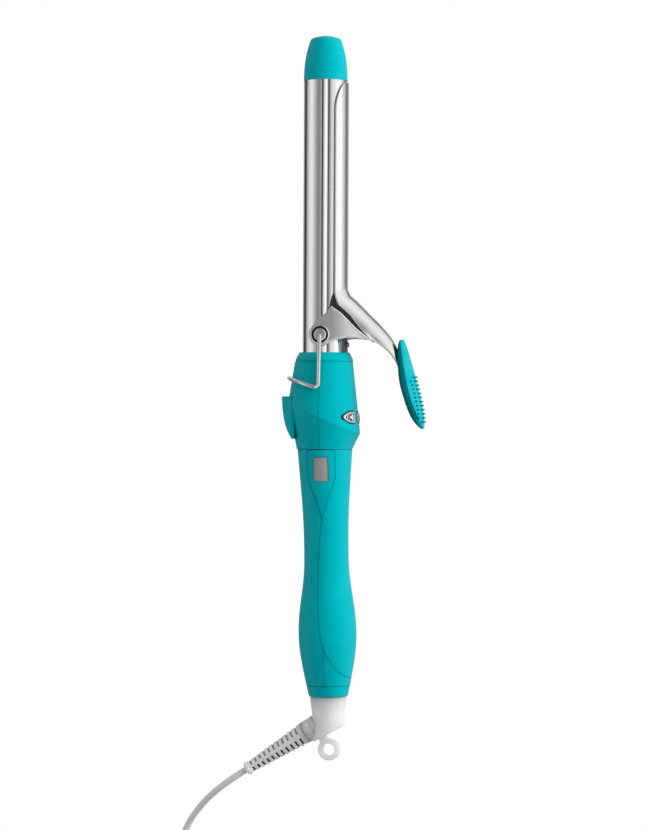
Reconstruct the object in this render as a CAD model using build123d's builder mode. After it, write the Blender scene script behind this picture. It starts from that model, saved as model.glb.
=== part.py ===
from build123d import *
from math import atan2, cos, degrees, pi, radians, sin, tan
import os

# A curling iron lying on its side. +Y runs along the iron towards the tip, +X towards the
# clamp's lever, +Z up. The clamp and the stand turn about vertical pivots. Millimetres.

# Lengths along the iron
barrel_length = 158.3
cap_length = 26.3
collar_length = 5.2
housing_length = 51.0
handle_length = 144.2
end_ring_length = 6.7
tail_length = 46.5

# Where the iron lies
axis_back = 5.5
housing_half_height = 20.0
stand_half_width = 20.25
wire_radius = 1.15

# General fits
fit = 0.05
running = 0.07
touch = 0.3

# Levels, measured from the middle of the whole length
iron_length = cap_length + barrel_length + collar_length + housing_length + handle_length
y_nose = (iron_length + tail_length) / 2
y_cap = y_nose - cap_length
y_collar = y_cap - barrel_length
y_housing = y_collar - collar_length
y_knee = y_housing - housing_length

axis_x = -axis_back
axis_z = stand_half_width + wire_radius
side = Plane(origin=(axis_x, 0, axis_z), x_dir=(1, 0, 0), z_dir=(0, 0, 1))
front_view = Plane(origin=(axis_x, 0, axis_z), x_dir=(0, 1, 0), z_dir=(1, 0, 0))
parting = Plane(origin=(axis_x, 0, axis_z), x_dir=(0, 1, 0), z_dir=(1, 0, 0))
iron_axis = Axis((axis_x, 0, axis_z), (0, 1, 0))

# The handle leans a little towards the lever side, about the bottom of the housing.
handle_lean = 1.1
knee_offset = 0.6
handle = Plane(
    origin=(axis_x + knee_offset, y_knee, axis_z),
    x_dir=(cos(radians(handle_lean)), sin(radians(handle_lean)), 0),
    z_dir=(0, 0, 1),
)
handle_axis = Axis(handle.origin, handle.y_dir)
handle_parting = Plane(origin=handle.origin, x_dir=handle.y_dir, z_dir=handle.x_dir)

os.makedirs("parts", exist_ok=True)


def across(y):
    """The plane across the iron at height y, facing the tip."""
    return Plane(origin=(axis_x, y, axis_z), x_dir=(1, 0, 0), z_dir=(0, 1, 0))


def pivot_at(w):
    """The side plane moved w towards the top, with its origin on the pivot."""
    return Plane(origin=(axis_x, y_pivot, axis_z + w), x_dir=(1, 0, 0), z_dir=(0, 0, 1))


def across_handle(g):
    """The plane across the handle at g along it, facing the tip."""
    centre = handle.origin + handle.y_dir * g
    return Plane(origin=centre, x_dir=handle.x_dir, z_dir=handle.y_dir)


# ---------------------------------------------------------------- barrel
barrel_radius = 12.7
barrel_wall = 0.9
barrel_inset = 24.0
boss_radius = 3.6
pivot_height = 10.2

y_barrel_root = y_collar - barrel_inset
y_pivot = y_collar + pivot_height
barrel_bore = barrel_radius - barrel_wall

with BuildPart() as barrel_tube:
    with BuildSketch(across(y_barrel_root)):
        Circle(barrel_radius)
        Circle(barrel_bore, mode=Mode.SUBTRACT)
    extrude(amount=y_cap - y_barrel_root)
    with BuildSketch(pivot_at(0)):
        Circle(boss_radius + fit)
    extrude(amount=barrel_radius + 1, both=True, mode=Mode.SUBTRACT)
barrel_tube.part.label = "barrel_tube"
export_step(barrel_tube.part, "parts/barrel_tube.step")

# The cap is hollow and plugs into the barrel's end with a short spigot.
cap_nose_radius = 6.9
cap_dome = 1.2
cap_wall = 2.0
spigot_length = 8.0
spigot_wall = 1.6
spigot_radius = barrel_bore - fit

with BuildPart() as tip_cap:
    with BuildSketch(side):
        with BuildLine():
            dome = ThreePointArc(
                (0, y_nose),
                (cap_nose_radius / 2, y_nose - cap_dome / 4),
                (cap_nose_radius, y_nose - cap_dome),
            )
            shoulder = Spline(
                dome @ 1,
                (8.9, y_nose - 0.093 * cap_length),
                (9.6, y_nose - 0.16 * cap_length),
                (10.75, y_nose - 0.31 * cap_length),
                (11.9, y_nose - 0.53 * cap_length),
                (barrel_radius + fit, y_cap),
            )
            Polyline(
                shoulder @ 1,
                (spigot_radius, y_cap),
                (spigot_radius, y_cap - spigot_length),
                (spigot_radius - spigot_wall, y_cap - spigot_length),
                (spigot_radius - spigot_wall, y_cap + cap_wall),
                (cap_nose_radius, y_nose - 2 * cap_wall - cap_dome),
                (0, y_nose - cap_wall - cap_dome),
                (0, y_nose),
            )
        make_face()
    revolve(axis=iron_axis)
tip_cap.part.label = "tip_cap"
export_step(tip_cap.part, "parts/tip_cap.step")

# ---------------------------------------------------------------- heater
insulator_length = 4.0
spreader_length = 112.0
heater_thickness = 1.6
heater_width = 14.0
spreader_flat = 3.2
sensor_radius = 1.1
sensor_length = 6.0
lead_radius = 0.9
lead_spacing = 5.0

y_insulator = y_cap - spigot_length - insulator_length
y_spreader_top = y_insulator
y_spreader = y_spreader_top - spreader_length

with BuildPart() as tip_insulator:
    with BuildSketch(across(y_insulator)):
        Circle(barrel_bore - fit)
    extrude(amount=insulator_length)
    with BuildSketch(across(y_insulator + insulator_length)):
        Circle(spigot_radius - spigot_wall - fit)
    extrude(amount=insulator_length / 2)
tip_insulator.part.label = "tip_insulator"
export_step(tip_insulator.part, "parts/tip_insulator.step")

with BuildPart() as heater_plate:
    with BuildSketch(across(y_spreader)):
        Rectangle(heater_thickness, heater_width)
    extrude(amount=spreader_length)
heater_plate.part.label = "heater_plate"
export_step(heater_plate.part, "parts/heater_plate.step")

with BuildPart() as front_heat_spreader:
    with BuildSketch(across(y_spreader)):
        Circle(barrel_bore - fit)
        with Locations((-barrel_radius / 2 + heater_thickness / 4, 0)):
            Rectangle(barrel_radius + heater_thickness / 2, 3 * barrel_radius, mode=Mode.SUBTRACT)
        with Locations((spreader_flat + barrel_radius, 0)):
            Rectangle(2 * barrel_radius, heater_width / 2, mode=Mode.SUBTRACT)
    extrude(amount=spreader_length)
front_heat_spreader.part.label = "front_heat_spreader"
export_step(front_heat_spreader.part, "parts/front_heat_spreader.step")

with BuildPart() as rear_heat_spreader:
    add(front_heat_spreader.part)
    mirror(about=parting, mode=Mode.REPLACE)
    with BuildSketch(across(y_spreader)):
        with Locations((-barrel_bore / 2, heater_width / 2)):
            Circle(sensor_radius + fit)
    extrude(amount=sensor_length + fit, mode=Mode.SUBTRACT)
rear_heat_spreader.part.label = "rear_heat_spreader"
export_step(rear_heat_spreader.part, "parts/rear_heat_spreader.step")

with BuildPart() as heat_sensor:
    with BuildSketch(across(y_spreader)):
        with Locations((-barrel_bore / 2, heater_width / 2)):
            Circle(sensor_radius)
    extrude(amount=sensor_length)
heat_sensor.part.label = "heat_sensor"
export_step(heat_sensor.part, "parts/heat_sensor.step")

# ---------------------------------------------------------------- pivot
ear_gap = 0.4
ear_thickness = 1.0
boss_flange = 1.0
boss_depth = 9.4
thread_radius = 1.85
shoulder_radius = 2.5
screw_head_radius = 5.5
screw_head_height = 1.4
screw_ring = 1.2
wire_hole = wire_radius + running

ear_inner = barrel_radius + ear_gap
ear_outer = ear_inner + ear_thickness
boss_face = ear_inner - fit
head_base = ear_outer + fit
head_top = head_base + screw_head_height

with BuildPart() as pivot_bosses:
    with BuildSketch(pivot_at(boss_depth)):
        Circle(boss_radius)
    extrude(amount=boss_face - boss_depth)
    with BuildSketch(pivot_at(boss_depth)):
        Circle(boss_radius + boss_flange)
    extrude(amount=boss_flange)
    with BuildSketch(pivot_at(boss_depth)):
        Circle(thread_radius)
    extrude(amount=boss_face - boss_depth, mode=Mode.SUBTRACT)
    mirror(about=side)
pivot_bosses.part.label = "pivot_bosses"
export_step(pivot_bosses.part, "parts/pivot_bosses.step")

with BuildPart() as pivot_screws:
    with BuildSketch(pivot_at(boss_depth)):
        Circle(thread_radius - fit)
    extrude(amount=boss_face - boss_depth)
    with BuildSketch(pivot_at(boss_face)):
        Circle(shoulder_radius)
    extrude(amount=head_base - boss_face)
    with BuildSketch(pivot_at(head_base)):
        Circle(screw_head_radius)
    extrude(amount=screw_head_height)
    chamfer(pivot_screws.faces().sort_by(Axis.Z)[-1].edges(), length=0.4)
    with BuildSketch(pivot_at(head_top)):
        Circle(screw_head_radius - screw_ring)
        Circle(screw_head_radius - 1.5 * screw_ring, mode=Mode.SUBTRACT)
    extrude(amount=-screw_head_height / 3, mode=Mode.SUBTRACT)
    with BuildSketch(pivot_at(head_top)):
        Circle(wire_hole)
    extrude(amount=boss_depth - head_top, mode=Mode.SUBTRACT)
    mirror(about=side)
pivot_screws.part.label = "pivot_screws"
export_step(pivot_screws.part, "parts/pivot_screws.step")

# ---------------------------------------------------------------- clamp
clamp_gap = 0.15
clamp_sheet = 0.9
spoon_half_angle = 56.0
spoon_end_gap = 1.4
spoon_tip_half_width = 4.5
spoon_tip_length = 16.0
bend_height = 26.5

y_spoon_end = y_cap - spoon_end_gap
y_bend = y_pivot + bend_height
spoon_inner = barrel_radius + clamp_gap
spoon_outer = spoon_inner + clamp_sheet
spoon_half_width = spoon_outer * sin(radians(spoon_half_angle))


def channel_face(plane, radius, half_angle):
    """A C-shaped section of the pressed sheet; its crown is at the plane's +X."""
    a = radians(half_angle)
    inner = radius - clamp_sheet
    with BuildSketch(plane) as section:
        with BuildLine():
            outside = ThreePointArc(
                (radius * cos(a), -radius * sin(a)), (radius, 0), (radius * cos(a), radius * sin(a))
            )
            inside = ThreePointArc(
                (inner * cos(a), -inner * sin(a)), (inner, 0), (inner * cos(a), inner * sin(a))
            )
            Line(outside @ 0, inside @ 0)
            Line(outside @ 1, inside @ 1)
        make_face()
    return section.sketch


def lever_plane(u, y, steep, radius):
    """The section plane whose crown point is (u, y) where the lever slopes by steep degrees."""
    out = Vector(cos(radians(90 - steep)), sin(radians(90 - steep)), 0)
    crown = Vector(axis_x + u, y, axis_z)
    return Plane(origin=crown - out * radius, x_dir=out, z_dir=Vector(-out.Y, out.X, 0))


# Crown point of the lever from the pivot, its slope, and the section's radius and half angle.
lever_stations = (
    (18.8, 20.4, 45, 11.6, 80),
    (25.9, 13.3, 44, 10.6, 90),
    (33.4, 5.8, 47, 10.2, 92),
    (39.6, -1.7, 56, 8.6, 80),
    (43.7, -9.4, 66, 8.0, 58),
    (46.4, -17.4, 75, 9.0, 38),
    (48.9, -28.4, 78, 12.0, 22),
)
ear_radius = 6.8
ear_turn = 48.0
web_flange = 1.7
flange_root = 6.8
# Where the web meets the lever, from the spoon's edge down to the lever's free edge.
web_crease = (
    (6.5, 22.2),
    (7.1, 18.9),
    (8.9, 16.9),
    (12.4, 14.4),
    (16.0, 11.1),
    (19.5, 7.0),
    (23.1, 2.9),
    (26.2, -0.2),
    (30.2, -3.2),
)
upper_edge = ((-5.9, 3.4), (-3.0, 7.3), (1.2, 10.8), (3.9, 13.6), (5.5, 17.4))
lower_edge = ((31.0, -4.1), (27.0, -3.0), (17.2, -2.0), (10.2, -2.9))

with BuildPart() as spoon:
    with BuildSketch(across(y_bend)):
        Circle(spoon_outer)
        Circle(spoon_inner, mode=Mode.SUBTRACT)
        with BuildLine():
            a = radians(spoon_half_angle)
            reach = 3 * spoon_outer
            Polyline((0, 0), (reach * cos(a), reach * sin(a)), (reach, 0), close=False)
            Polyline((0, 0), (reach * cos(a), -reach * sin(a)), (reach, 0), close=False)
        make_face(mode=Mode.INTERSECT)
    extrude(amount=y_spoon_end - y_bend)
    with BuildSketch(front_view):
        with BuildLine():
            corner_y = y_spoon_end - spoon_tip_length
            corner_w = spoon_half_width + fit
            tongue = corner_w - spoon_tip_half_width
            right = EllipticalCenterArc(
                (corner_y, spoon_tip_half_width), spoon_tip_length, tongue, start_angle=0, arc_size=90
            )
            left = EllipticalCenterArc(
                (corner_y, -spoon_tip_half_width), spoon_tip_length, tongue, start_angle=270, arc_size=90
            )
            Polyline(right @ 1, (y_bend, corner_w), (y_bend, -corner_w), left @ 0)
            Line(left @ 1, right @ 0)
        make_face()
    extrude(amount=spoon_outer + 1, mode=Mode.INTERSECT)

lever_sections = [channel_face(across(y_bend), spoon_outer, spoon_half_angle)]
for u, rise, steep, radius, half_angle in lever_stations:
    plane = lever_plane(u, y_pivot + rise, steep, radius)
    lever_sections.append(channel_face(plane, radius, half_angle))

with BuildPart() as lever:
    loft(lever_sections)

# The ears and webs: flat sheet each side of the barrel, stepped out from the lever's edges.
ear_side = (ear_radius * sin(radians(ear_turn)), ear_radius * cos(radians(ear_turn)))


def web_outline(level):
    """The web's outline, drawn at a level over the iron's axis."""
    with BuildSketch(pivot_at(level)) as outline:
        with BuildLine():
            under = Spline(*lower_edge)
            over = Spline(*upper_edge, web_crease[0])
            ridge = Spline(*web_crease[1:])
            Polyline(under @ 1, (ear_side[0], -ear_side[1]), (0, 0), over @ 0)
            Line(over @ 1, ridge @ 0)
            Line(ridge @ 1, under @ 0)
        make_face()
    return outline.sketch


with BuildPart() as web_wall:
    with BuildSketch(pivot_at(flange_root)):
        with BuildLine():
            top = Polyline(*web_crease)
            bottom = Polyline(*[(u - web_flange, rise - web_flange) for u, rise in web_crease])
            Line(top @ 0, bottom @ 0)
            Line(top @ 1, bottom @ 1)
        make_face()
    extrude(amount=ear_outer - flange_root)
    extrude(web_outline(flange_root), amount=ear_outer - flange_root, mode=Mode.INTERSECT)

with BuildPart() as web:
    extrude(web_outline(ear_inner), amount=ear_thickness)
    with BuildSketch(pivot_at(ear_inner)):
        Circle(ear_radius)
    extrude(amount=ear_thickness)
    with BuildSketch(pivot_at(ear_inner)):
        Circle(shoulder_radius + running)
    extrude(amount=ear_thickness, mode=Mode.SUBTRACT)
    add(web_wall.part)
    with BuildSketch(across(y_collar)):
        Circle(spoon_inner)
    extrude(amount=2 * bend_height, mode=Mode.SUBTRACT)
    mirror(about=side)

with BuildPart() as clamp_spoon:
    add(spoon.part)
    add(lever.part)
    add(web.part)
clamp_spoon.part.label = "clamp_spoon"
export_step(clamp_spoon.part, "parts/clamp_spoon.step")
print("clamp solids", len(clamp_spoon.part.solids()), "volume", round(clamp_spoon.part.volume, 1))

# ---------------------------------------------------------------- thumb pad
# The pad's own plane: its origin is at the pad's upper tip and -Y runs along its chord.
pad_tip_u = 46.5
pad_tip_rise = -1.9
pad_slope = 13.4
pad_length = 53.9
base_share = 0.35

pad_tip = Vector(axis_x + pad_tip_u, y_pivot + pad_tip_rise, axis_z)
pad = Plane(
    origin=pad_tip,
    x_dir=(cos(radians(pad_slope)), sin(radians(pad_slope)), 0),
    z_dir=(0, 0, 1),
)
# Distance along the pad as a share of its length, half width, crown, shoulder and underside.
pad_stations = (
    (0.01, 1.6, 0.1, -0.9, -2.0),
    (0.09, 4.2, 0.8, -1.8, -4.0),
    (0.24, 6.9, 1.4, -2.3, -5.4),
    (0.41, 8.9, 1.8, -2.6, -6.6),
    (0.60, 9.8, 2.0, -2.6, -6.5),
    (0.75, 9.2, 1.9, -1.9, -5.8),
    (0.86, 7.6, 1.5, -1.0, -4.8),
    (0.94, 5.2, 0.8, -0.6, -3.2),
    (0.995, 2.0, 0.2, -0.6, -1.6),
)


def pad_section(share, half_width, crown, shoulder, underside):
    """A D-shaped section across the pad: flat underside, short sides, crowned top."""
    centre = pad.origin - pad.y_dir * share * pad_length
    with BuildSketch(Plane(origin=centre, x_dir=pad.x_dir, z_dir=pad.y_dir)) as section:
        with BuildLine():
            top = ThreePointArc((shoulder, -half_width), (crown, 0), (shoulder, half_width))
            Polyline(top @ 1, (underside, half_width), (underside, -half_width), top @ 0)
        make_face()
    return section.sketch


pad_sections = [pad_section(*station) for station in pad_stations]
seam_points = []
for share, half_width, crown, shoulder, underside in pad_stations:
    seam_points.append((underside + base_share * (shoulder - underside), -share * pad_length))

with BuildPart() as pad_whole:
    loft(pad_sections)
    add(lever.part, mode=Mode.SUBTRACT)

with BuildPart() as below_seam:
    with BuildSketch(pad):
        with BuildLine():
            seam = Spline(*seam_points)
            low = -1.1 * pad_length
            top_u = seam_points[0][0]
            low_u = seam_points[-1][0]
            Polyline(seam @ 1, (low_u, low), (-20, low), (-20, 5), (top_u, 5), seam @ 0)
        make_face()
    extrude(amount=2 * max(station[1] for station in pad_stations), both=True)

with BuildPart() as thumb_pad:
    add(pad_whole.part)
    add(below_seam.part, mode=Mode.SUBTRACT)
thumb_pad.part.label = "thumb_pad"
export_step(thumb_pad.part, "parts/thumb_pad.step")

with BuildPart() as pad_base:
    add(pad_whole.part)
    add(below_seam.part, mode=Mode.INTERSECT)
pad_base.part.label = "pad_base"
export_step(pad_base.part, "parts/pad_base.step")
print("pad solids", len(thumb_pad.part.solids()), len(pad_base.part.solids()))

# ---------------------------------------------------------------- housing
housing_mouth_radius = 16.9
housing_mouth_shift = -0.25
crease_front = 21.1
crease_back = 20.9
crease_front_level = 9.3
crease_back_level = 28.0
housing_wall = 2.2
knee_radius = 16.2
knee_shift = 0.3
collar_top_radius = 14.7
collar_overhang = 0.2
bush_thickness = 2.0
bush_length = 16.0
wall_ring = 2.4

y_crease_front = y_knee + crease_front_level
y_crease_back = y_knee + crease_back_level
crease_centre = Vector(
    axis_x + (crease_front - crease_back) / 2, (y_crease_front + y_crease_back) / 2, axis_z
)
crease_run = Vector(crease_front + crease_back, y_crease_front - y_crease_back, 0)
crease_plane = Plane(
    origin=crease_centre, x_dir=crease_run, z_dir=Vector(-crease_run.Y, crease_run.X, 0)
)


def housing_form(inset):
    """The housing's outer form, all its skin moved in by inset."""
    with BuildPart() as form:
        with BuildSketch(across(y_housing)):
            with Locations((housing_mouth_shift, 0)):
                Circle(housing_mouth_radius - inset)
        with BuildSketch(crease_plane):
            Ellipse(crease_run.length / 2 - inset, housing_half_height - inset)
        with BuildSketch(across(y_knee)):
            with Locations((knee_shift, 0)):
                Circle(knee_radius - inset)
        loft(ruled=True)
    return form.part


bush_inner = barrel_radius + fit
bush_outer = bush_inner + bush_thickness
y_bush_top = y_collar - collar_length / 2
y_bush = y_bush_top - bush_length
neck_radius = 13.6
neck_length = 8.0
neck_wall = 2.0

with BuildPart() as heat_shield_bush:
    with BuildSketch(across(y_bush)):
        Circle(bush_outer)
        Circle(bush_inner, mode=Mode.SUBTRACT)
    extrude(amount=bush_length)
heat_shield_bush.part.label = "heat_shield_bush"
export_step(heat_shield_bush.part, "parts/heat_shield_bush.step")

with BuildPart() as collar_ring:
    with BuildSketch(side):
        with BuildLine():
            Polyline(
                (barrel_radius + fit, y_collar),
                (collar_top_radius, y_collar),
                (housing_mouth_radius - collar_overhang, y_housing + collar_length / 4),
                (housing_mouth_radius - collar_overhang, y_housing),
                (bush_outer + fit, y_housing),
                (bush_outer + fit, y_bush_top + fit),
                (barrel_radius + fit, y_bush_top + fit),
                close=True,
            )
        make_face()
    revolve(axis=iron_axis)
collar_ring.part.label = "collar_ring"
export_step(collar_ring.part, "parts/collar_ring.step")

# Button places round the housing's front, and the buttons' own sizes.
button_level = 18.6
button_turn = 33.0
button_proud = 0.7
button_inner = 15.2
button_flange_top = 16.2
button_flange = 0.45
button_gap = 0.15
button_travel = 0.6
power_radius = 3.1
arrow_height = 3.2
arrow_reach = 5.4
y_button = y_knee + button_level


def button_plane(turn, distance):
    """The plane facing out of the housing at an angle from its front, towards the top."""
    out = Vector(cos(radians(turn)), 0, sin(radians(turn)))
    foot = Vector(axis_x, y_button, axis_z) + out * distance
    return Plane(origin=foot, x_dir=Vector(-out.Z, 0, out.X), z_dir=out)


def button_outline(turn, grow, distance):
    """A round outline in front, and a rounded arrowhead at each side, pointing away."""
    with BuildSketch(button_plane(turn, distance)) as outline:
        if turn == 0:
            Circle(power_radius + grow)
        else:
            with BuildLine():
                sign = 1 if turn > 0 else -1
                near = -sign * arrow_reach * 0.82
                tip = sign * arrow_reach
                a = Line((near, -arrow_height), (near, arrow_height))
                ThreePointArc(a @ 1, (sign * arrow_reach * 0.16, arrow_height * 0.86), (tip, 0))
                ThreePointArc((tip, 0), (sign * arrow_reach * 0.16, -arrow_height * 0.86), a @ 0)
            make_face()
            fillet(outline.vertices(), radius=1.1)
            if grow:
                offset(amount=grow)
    return outline.sketch


button_turns = {"power_button": 0.0, "heat_down_button": button_turn, "heat_up_button": -button_turn}
button_skin = housing_form(-button_proud)

for name, turn in button_turns.items():
    with BuildPart() as button:
        extrude(button_outline(turn, 0, button_flange_top), amount=10)
        add(button_skin, mode=Mode.INTERSECT)
        extrude(button_outline(turn, button_flange, button_inner), amount=button_flange_top - button_inner)
    button.part.label = name
    export_step(button.part, f"parts/{name}.step")

with BuildPart() as button_holes:
    for turn in button_turns.values():
        extrude(button_outline(turn, button_gap, button_flange_top - 1), amount=12)

# The whole housing, later split into its front and back shells.
heel_top_level = 30.6
heel_reach = 23.0
heel_root_level = 6.0
heel_outer_half_width = 6.0
heel_root_half_width = 11.0
heel_depth = 17.5

with BuildPart() as heel:
    with BuildSketch(side):
        with BuildLine():
            y_heel = y_knee + heel_top_level
            y_root = y_knee + heel_root_level
            out = Line((-heel_depth, y_heel), (-heel_reach - 1, y_heel))
            back = Spline(
                out @ 1,
                (-heel_reach, y_knee + 0.65 * heel_top_level),
                (-0.89 * heel_reach, y_knee + 0.37 * heel_top_level),
                (-knee_radius - 1, y_root),
            )
            Polyline(back @ 1, (-heel_depth + 2, y_root), (-heel_depth + 2, y_heel), out @ 0)
        make_face()
    extrude(amount=heel_root_half_width + 1, both=True)
    with BuildSketch(across(y_root - 1)):
        with BuildLine():
            Polyline(
                (0, heel_root_half_width),
                (-heel_depth, heel_root_half_width),
                (-heel_reach - 1, heel_outer_half_width),
                (-heel_reach - 1, -heel_outer_half_width),
                (-heel_depth, -heel_root_half_width),
                (0, -heel_root_half_width),
                close=True,
            )
        make_face()
    extrude(amount=y_heel - y_root + 2, mode=Mode.INTERSECT)

with BuildPart() as housing:
    add(housing_form(0))
    add(heel.part)
    add(housing_form(housing_wall), mode=Mode.SUBTRACT)
    with BuildSketch(across(y_housing)):
        Circle(housing_mouth_radius - housing_wall / 2)
    extrude(amount=-wall_ring)
    with BuildSketch(across(y_bush + bush_length / 4)):
        Circle(housing_mouth_radius)
    extrude(amount=-wall_ring)
    with BuildSketch(across(y_knee)):
        Circle(knee_radius - housing_wall / 2)
    extrude(amount=wall_ring)
    with BuildSketch(across(y_bush - fit)):
        Circle(bush_outer + fit)
    extrude(amount=y_housing - y_bush + 1, mode=Mode.SUBTRACT)
    with BuildSketch(across(y_knee - 1)):
        Circle(neck_radius + fit)
    extrude(amount=neck_length, mode=Mode.SUBTRACT)
    add(button_holes.part, mode=Mode.SUBTRACT)

with BuildPart() as housing_front_shell:
    add(housing.part)
    split(bisect_by=parting, keep=Keep.TOP)
housing_front_shell.part.label = "housing_front_shell"
export_step(housing_front_shell.part, "parts/housing_front_shell.step")

with BuildPart() as housing_back_shell:
    add(housing.part)
    split(bisect_by=parting, keep=Keep.BOTTOM)
housing_back_shell.part.label = "housing_back_shell"
export_step(housing_back_shell.part, "parts/housing_back_shell.step")
print("housing solids", len(housing_front_shell.part.solids()), len(housing_back_shell.part.solids()))

# ---------------------------------------------------------------- handle
handle_wall = 2.0
skin_thickness = 1.1
skin_fit = 0.05
handle_end_radius = 12.75
ring_end_radius = 11.4

# Radius of the handle at a share of its length from the housing.
handle_profile = (
    (0.0, 16.0),
    (0.125, 14.66),
    (0.255, 13.45),
    (0.40, 12.95),
    (0.515, 13.5),
    (0.645, 16.0),
    (0.735, 16.9),
    (0.81, 16.4),
    (0.875, 15.0),
    (1 - end_ring_length / handle_length, handle_end_radius),
)
handle_end = -handle_length
g_ring = handle_end + end_ring_length


def grip_form(inset, rise=2.0):
    """The handle's outer form, with its skin moved in by inset, run a little above the knee."""
    with BuildPart() as form:
        with BuildSketch(handle):
            with BuildLine():
                points = [(radius - inset, -share * handle_length) for share, radius in handle_profile]
                skin = Spline(*points)
                top_radius = knee_radius - inset + 0.1 * rise
                Polyline(skin @ 0, (top_radius, rise), (0, rise), (0, g_ring), skin @ 1)
            make_face()
        revolve(axis=handle_axis)
        with BuildSketch(across(y_knee - fit)):
            Circle(2 * knee_radius)
        extrude(amount=2 * rise + 2, mode=Mode.SUBTRACT)
    return form.part


# Outlines on the handle's side, in the handle's plane.
grip_edge = (
    (0.3, -0.279),
    (-1.9, -0.385),
    (-2.7, -0.51),
    (-2.9, -0.61),
    (-2.4, -0.687),
    (-1.0, -0.765),
    (0.9, -0.812),
    (4.6, -0.862),
    (7.7, -0.891),
    (11.8, -0.917),
    (17.0, -0.926),
)
display_half_width = 8.0
display_point = 0.281
display_straight = 0.095
display_corner = 1.6
window_width = 8.6
window_length = 13.9
window_start = 4.6


def grip_outline(grow):
    """The front cover's outline: all that lies in front of its seam."""
    with BuildSketch(handle) as outline:
        with BuildLine():
            seam = Spline(*[(u - grow, share * handle_length) for u, share in grip_edge])
            front = 2 * knee_radius
            Polyline(seam @ 1, (front, g_ring + 6), (front, 4), (0.3 - grow, 4), seam @ 0)
        make_face()
    return outline.sketch


def shield_outline(grow):
    """The display panel's outline: a shield with its point towards the handle's end."""
    half = display_half_width + grow
    start = -0.35 + grow
    with BuildSketch(handle) as outline:
        with BuildLine():
            low = -display_straight * handle_length
            point = (0, -display_point * handle_length - grow)
            right = Spline((half, low), (0.62 * half, low - 0.42 * (low - point[1])), point,
                           tangents=((0, -1), (-0.22, -1)))
            left = Spline((-half, low), (-0.62 * half, low - 0.42 * (low - point[1])), point,
                          tangents=((0, -1), (0.22, -1)))
            Polyline(right @ 0, (half, start), (-half, start), left @ 0)
        make_face()
        fillet(outline.vertices().group_by(Axis.Y)[-1], radius=display_corner)
    return outline.sketch


def window_outline(grow):
    """The window's rectangle on the display panel."""
    with BuildSketch(handle) as outline:
        with Locations((0, -window_start - window_length / 2)):
            RectangleRounded(window_width + 2 * grow, window_length + 2 * grow, 0.8)
    return outline.sketch


reach = 2 * knee_radius
grip_outside = grip_form(0)
grip_under = grip_form(skin_thickness)
grip_proud = grip_form(-0.35)
grip_inside = grip_form(handle_wall)

with BuildPart() as display_panel:
    extrude(shield_outline(0), amount=reach)
    add(grip_proud, mode=Mode.INTERSECT)
    add(grip_under, mode=Mode.SUBTRACT)
    extrude(window_outline(fit), amount=reach, mode=Mode.SUBTRACT)
display_panel.part.label = "display_panel"
export_step(display_panel.part, "parts/display_panel.step")

with BuildPart() as display_window:
    extrude(window_outline(0), amount=reach)
    add(grip_outside, mode=Mode.INTERSECT)
    add(grip_under, mode=Mode.SUBTRACT)
display_window.part.label = "display_window"
export_step(display_window.part, "parts/display_window.step")

with BuildPart() as grip_panel:
    extrude(grip_outline(0), amount=reach, both=True)
    add(grip_outside, mode=Mode.INTERSECT)
    add(grip_under, mode=Mode.SUBTRACT)
    extrude(shield_outline(skin_fit), amount=reach, mode=Mode.SUBTRACT)
grip_panel.part.label = "grip_panel"
export_step(grip_panel.part, "parts/grip_panel.step")
print("panel solids", len(grip_panel.part.solids()), len(display_panel.part.solids()))

# Board, ledges and screws inside the handle.
board_width = 16.0
board_thickness = 1.6
board_length = 58.0
board_start = 3.0
board_height = 5.6
ledge_depth = 1.4
ledge_reach = 1.2
module_height = 3.2
pillar_radius = 3.4
screw_radius = 1.4
screw_reach = 6.0
screw_cap_radius = 2.2
screw_cap_height = 1.8
# Each shell screw's place along the handle and how far out its head sits.
screw_places = ((-52.0, 9.0), (handle_end + 36.2, 12.9))

# The swivel's own sizes, at the far end of the handle.
swivel_neck_radius = 6.0
swivel_bore = swivel_neck_radius + running
swivel_flange_radius = 8.0
flange_thickness = 2.6
flange_top = handle_end + 12.5
flange_bottom = flange_top - flange_thickness
retainer_thickness = 2.0
block_outer = 8.6
block_length = 11.0
block_top = handle_end + 28.2
block_bottom = block_top - block_length
block_rib = block_top - 5.0

with BuildPart() as skin_pocket:
    extrude(grip_outline(skin_fit), amount=reach, both=True)
    extrude(shield_outline(2 * skin_fit), amount=reach)
    add(grip_form(-1), mode=Mode.INTERSECT)
    add(grip_form(skin_thickness + skin_fit), mode=Mode.SUBTRACT)

with BuildPart() as grip_body:
    add(grip_outside)
    add(grip_inside, mode=Mode.SUBTRACT)
    add(skin_pocket.part, mode=Mode.SUBTRACT)
    extrude(window_outline(fit), amount=reach, mode=Mode.SUBTRACT)
    with BuildSketch(across(y_knee - 2)):
        Circle(neck_radius)
        Circle(neck_radius - neck_wall, mode=Mode.SUBTRACT)
    extrude(amount=neck_length + 1)


def across_screw(g, distance):
    """The plane facing back out of the handle at g, at a distance in front of its axis."""
    centre = handle.origin + handle.y_dir * g + handle.x_dir * distance
    return Plane(origin=centre, x_dir=handle.y_dir, z_dir=-handle.x_dir)


# Inside the handle: the board's ledges, the screws' pillars and the walls across it, which are
# the knee's floor, the contact block's holder, and the swivel's retainer and bearing.
walls = (
    (block_rib, retainer_thickness, block_outer + fit),
    (flange_top + running, retainer_thickness, swivel_bore),
    (g_ring, flange_bottom - running - g_ring, swivel_bore),
)

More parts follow.
